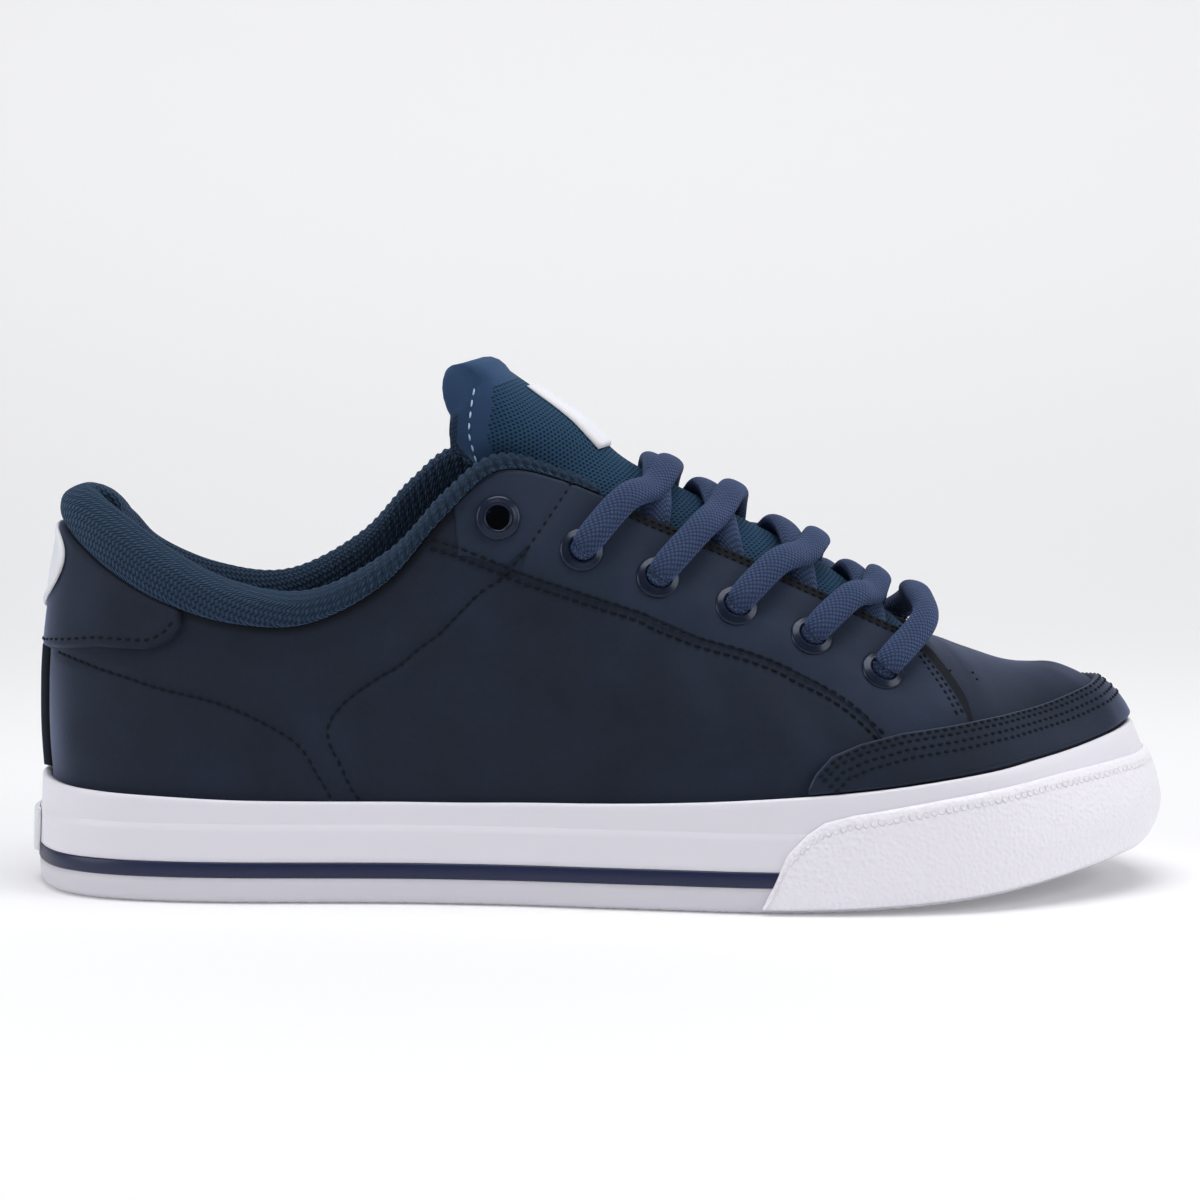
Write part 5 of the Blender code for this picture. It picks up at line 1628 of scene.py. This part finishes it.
def build_stitches(name, items, material):
    """All stitches as one mesh of small capsules."""
    around_turns = np.linspace(0, FULL_TURN, 6, endpoint=False)
    # along the stitch, its thickness, and how far it stands above the needle holes
    stations = [(-1.0, 0.15, -0.8), (-0.8, 0.7, -0.2), (-0.3, 1.0, 0.35), (0.3, 1.0, 0.35),
                (0.8, 0.7, -0.2), (1.0, 0.15, -0.8)]
    p, n, a = (np.array([item[k] for item in items]) for k in (0, 1, 2))
    half, thick = (np.array([item[k] for item in items])[:, None, None, None] for k in (3, 4))
    across = unit(np.cross(n, a))
    shape = np.array(stations)
    at = shape[:, 0][None, :, None, None]
    size = shape[:, 1][None, :, None, None]
    lift = shape[:, 2][None, :, None, None]
    c = np.cos(around_turns)[None, None, :, None]
    s = np.sin(around_turns)[None, None, :, None]
    points = (p[:, None, None] + a[:, None, None] * at * half
              + across[:, None, None] * c * size * thick * 1.15
              + n[:, None, None] * (s * size * thick * 0.9 + lift * thick))
    count = len(items)
    block = grid_faces(6, 6, close_columns=True)
    faces = (block[None] + 36 * np.arange(count)[:, None, None]).reshape(-1, 4)
    piece = mesh_object(name, points, faces, np.zeros((count * 36, 2)), [material])
    return piece


# dark dots of painted shade for three pinholes in the vamp; no hole is cut in the skin
pinhole_shades = []
for x, z in ((234.5, 56.8), (240.6, 56.0), (241.4, 54.6)):
    u, s = locate([(x, z)])
    pinhole_shades.append((skin(u, s, 0.1 * MM)[0], upper_normals(u, s)[0], np.array([1.0, 0, 0]),
                  0.3 * MM, 0.3 * MM))
threads = build_stitches("seam_threads", STITCHES, THREAD)
build_stitches("vamp_pinhole_shade", pinhole_shades, THREAD)
# the seams' dark strips of painted shade, joined into one mesh
parts, faces, base = [], [], 0
for strip_points in SEAM_SHADE_STRIPS:
    rows, columns = strip_points.shape[:2]
    parts.append(strip_points.reshape(-1, 3))
    faces.append(grid_faces(rows, columns) + base)
    base += rows * columns
points = np.concatenate(parts)
shade_strips = mesh_object("seam_shade_strips", points, np.concatenate(faces), np.zeros((len(points), 2)),
                      [SEAM_SHADE])
print("thread faces", len(threads.data.polygons), "pinholes", len(pinhole_shades))

# %% [markdown]
# ## Pale stitches on the tongue's tape
# The same capsules in a pale thread, 2.9 mm apart, follow both edges of the pad near its head,
# turned to face outwards from the tape.

# %% Tongue stitches
PALE = []
for path, way in ((near_edge, -1.0), (far_edge, 1.0)):
    path = path[:60]
    length = np.concatenate([[0], np.cumsum(np.linalg.norm(np.diff(path, axis=0), axis=1))])
    even = np.arange(1.0 * MM, length[-1], 2.9 * MM)
    points = np.stack([np.interp(even, length, path[:, axis]) for axis in range(3)], -1)
    ahead = unit(np.gradient(points, axis=0))
    normals = unit(np.cross(ahead, np.cross(np.array([0.35, way, 0.15]), ahead)))
    points = points + normals * 0.1 * MM
    PALE += [(p, n, a, 0.9 * MM, 0.22 * MM) for p, n, a in zip(points, normals, ahead)]
build_stitches("tongue_threads", PALE, PALE_THREAD)
print("pale stitches", len(PALE))

# %% [markdown]
# ## Floor, light and camera
# A product photo's table: a pale sweep that rises behind the shoe, brighter towards the back,
# one large softbox above and one at each end.

# %% Floor
# matt paper sweep: pale grey, brightened from 0.3 m to 1.8 m behind the shoe
FLOOR, floor_shader = new_material("pale_sweep", "E2E2E4", 0.9, Emission_Color="FFFFFF")
depth_of = add(FLOOR, "SeparateXYZ", [add(FLOOR, "TexCoord", out="Object")], out=1)
feed(FLOOR, floor_shader.inputs["Emission Strength"],
     add(FLOOR, "MapRange", [depth_of, 0.3, 1.8, 0.14, 0.52], interpolation_type="SMOOTHSTEP"))
sweep = [(-2.5, 0.0), (0.5, 0.0)]
sweep += [(0.5 + 2.0 * math.sin(t), 2.0 - 2.0 * math.cos(t)) for t in np.linspace(0.02, 1.57, 70)]
points = np.array([[(x, y, z) for y, z in sweep] for x in (-3.0, 3.2)])
data = bpy.data.meshes.new("studio_sweep")
data.from_pydata(points.reshape(-1, 3).tolist(), [], grid_faces(2, len(sweep)).tolist())
data.shade_smooth()
data.materials.append(FLOOR)
studio = bpy.data.objects.new("studio_sweep", data)
bpy.context.scene.collection.objects.link(studio)
studio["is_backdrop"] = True
print("floor", FLOOR.name)

# %% [markdown]
# ## Light
# The top softbox models the forms, and the two at the ends draw the soft edges of the heel
# and the toe. A faint even air keeps the navy from going black.

# %% Light
world = bpy.data.worlds.new("studio_air")
bpy.context.scene.world = world
world.use_nodes = True
world.node_tree.nodes["Background"].inputs[0].default_value = srgb("F2F4FA")
world.node_tree.nodes["Background"].inputs[1].default_value = 0.18


def area_light(name, place, target, size, power):
    """A white softbox at a place, turned towards a target."""
    light = bpy.data.lights.new(name, "AREA")
    light.shape = "RECTANGLE"
    light.size, light.size_y = size
    light.energy = power
    lamp = bpy.data.objects.new(name, light)
    lamp.location = place
    lamp.rotation_euler = (Vector(target) - Vector(place)).to_track_quat("-Z", "Y").to_euler()
    bpy.context.scene.collection.objects.link(lamp)


shoe_middle = (0.1, 0.0, 0.05)
area_light("top_softbox", (0.12, -0.10, 1.30), shoe_middle, (1.0, 0.8), 13)
area_light("heel_softbox", (-1.10, -0.50, 0.55), shoe_middle, (0.7, 0.9), 6.5)
area_light("toe_softbox", (1.30, -0.50, 0.60), shoe_middle, (0.7, 0.9), 8)
print("lights", len(bpy.data.lights))

# %% [markdown]
# ## Camera
# Three quarters of a metre away and level with the tongue's top, where the photo's vanishing
# lines put it, tilted down until the shoe sits in the frame as it does there.

# %% Camera
data = bpy.data.cameras.new("photo_camera")
data.lens = 87.6
data.sensor_width = 36
camera = bpy.data.objects.new("photo_camera", data)
camera.location = (0.1014, -0.755, 0.148)
camera.rotation_euler = (math.radians(90 - 5.735), 0, 0)
bpy.context.scene.collection.objects.link(camera)
bpy.context.scene.camera = camera
bpy.context.scene.view_settings.view_transform = "Standard"
print("camera", tuple(round(v, 3) for v in camera.location))

# %% [markdown]
# ## Size
# The size of the finished model is measured and printed.

# %% Measure
low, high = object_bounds()
print("visual", [round(b - a, 4) for a, b in zip(low, high)])
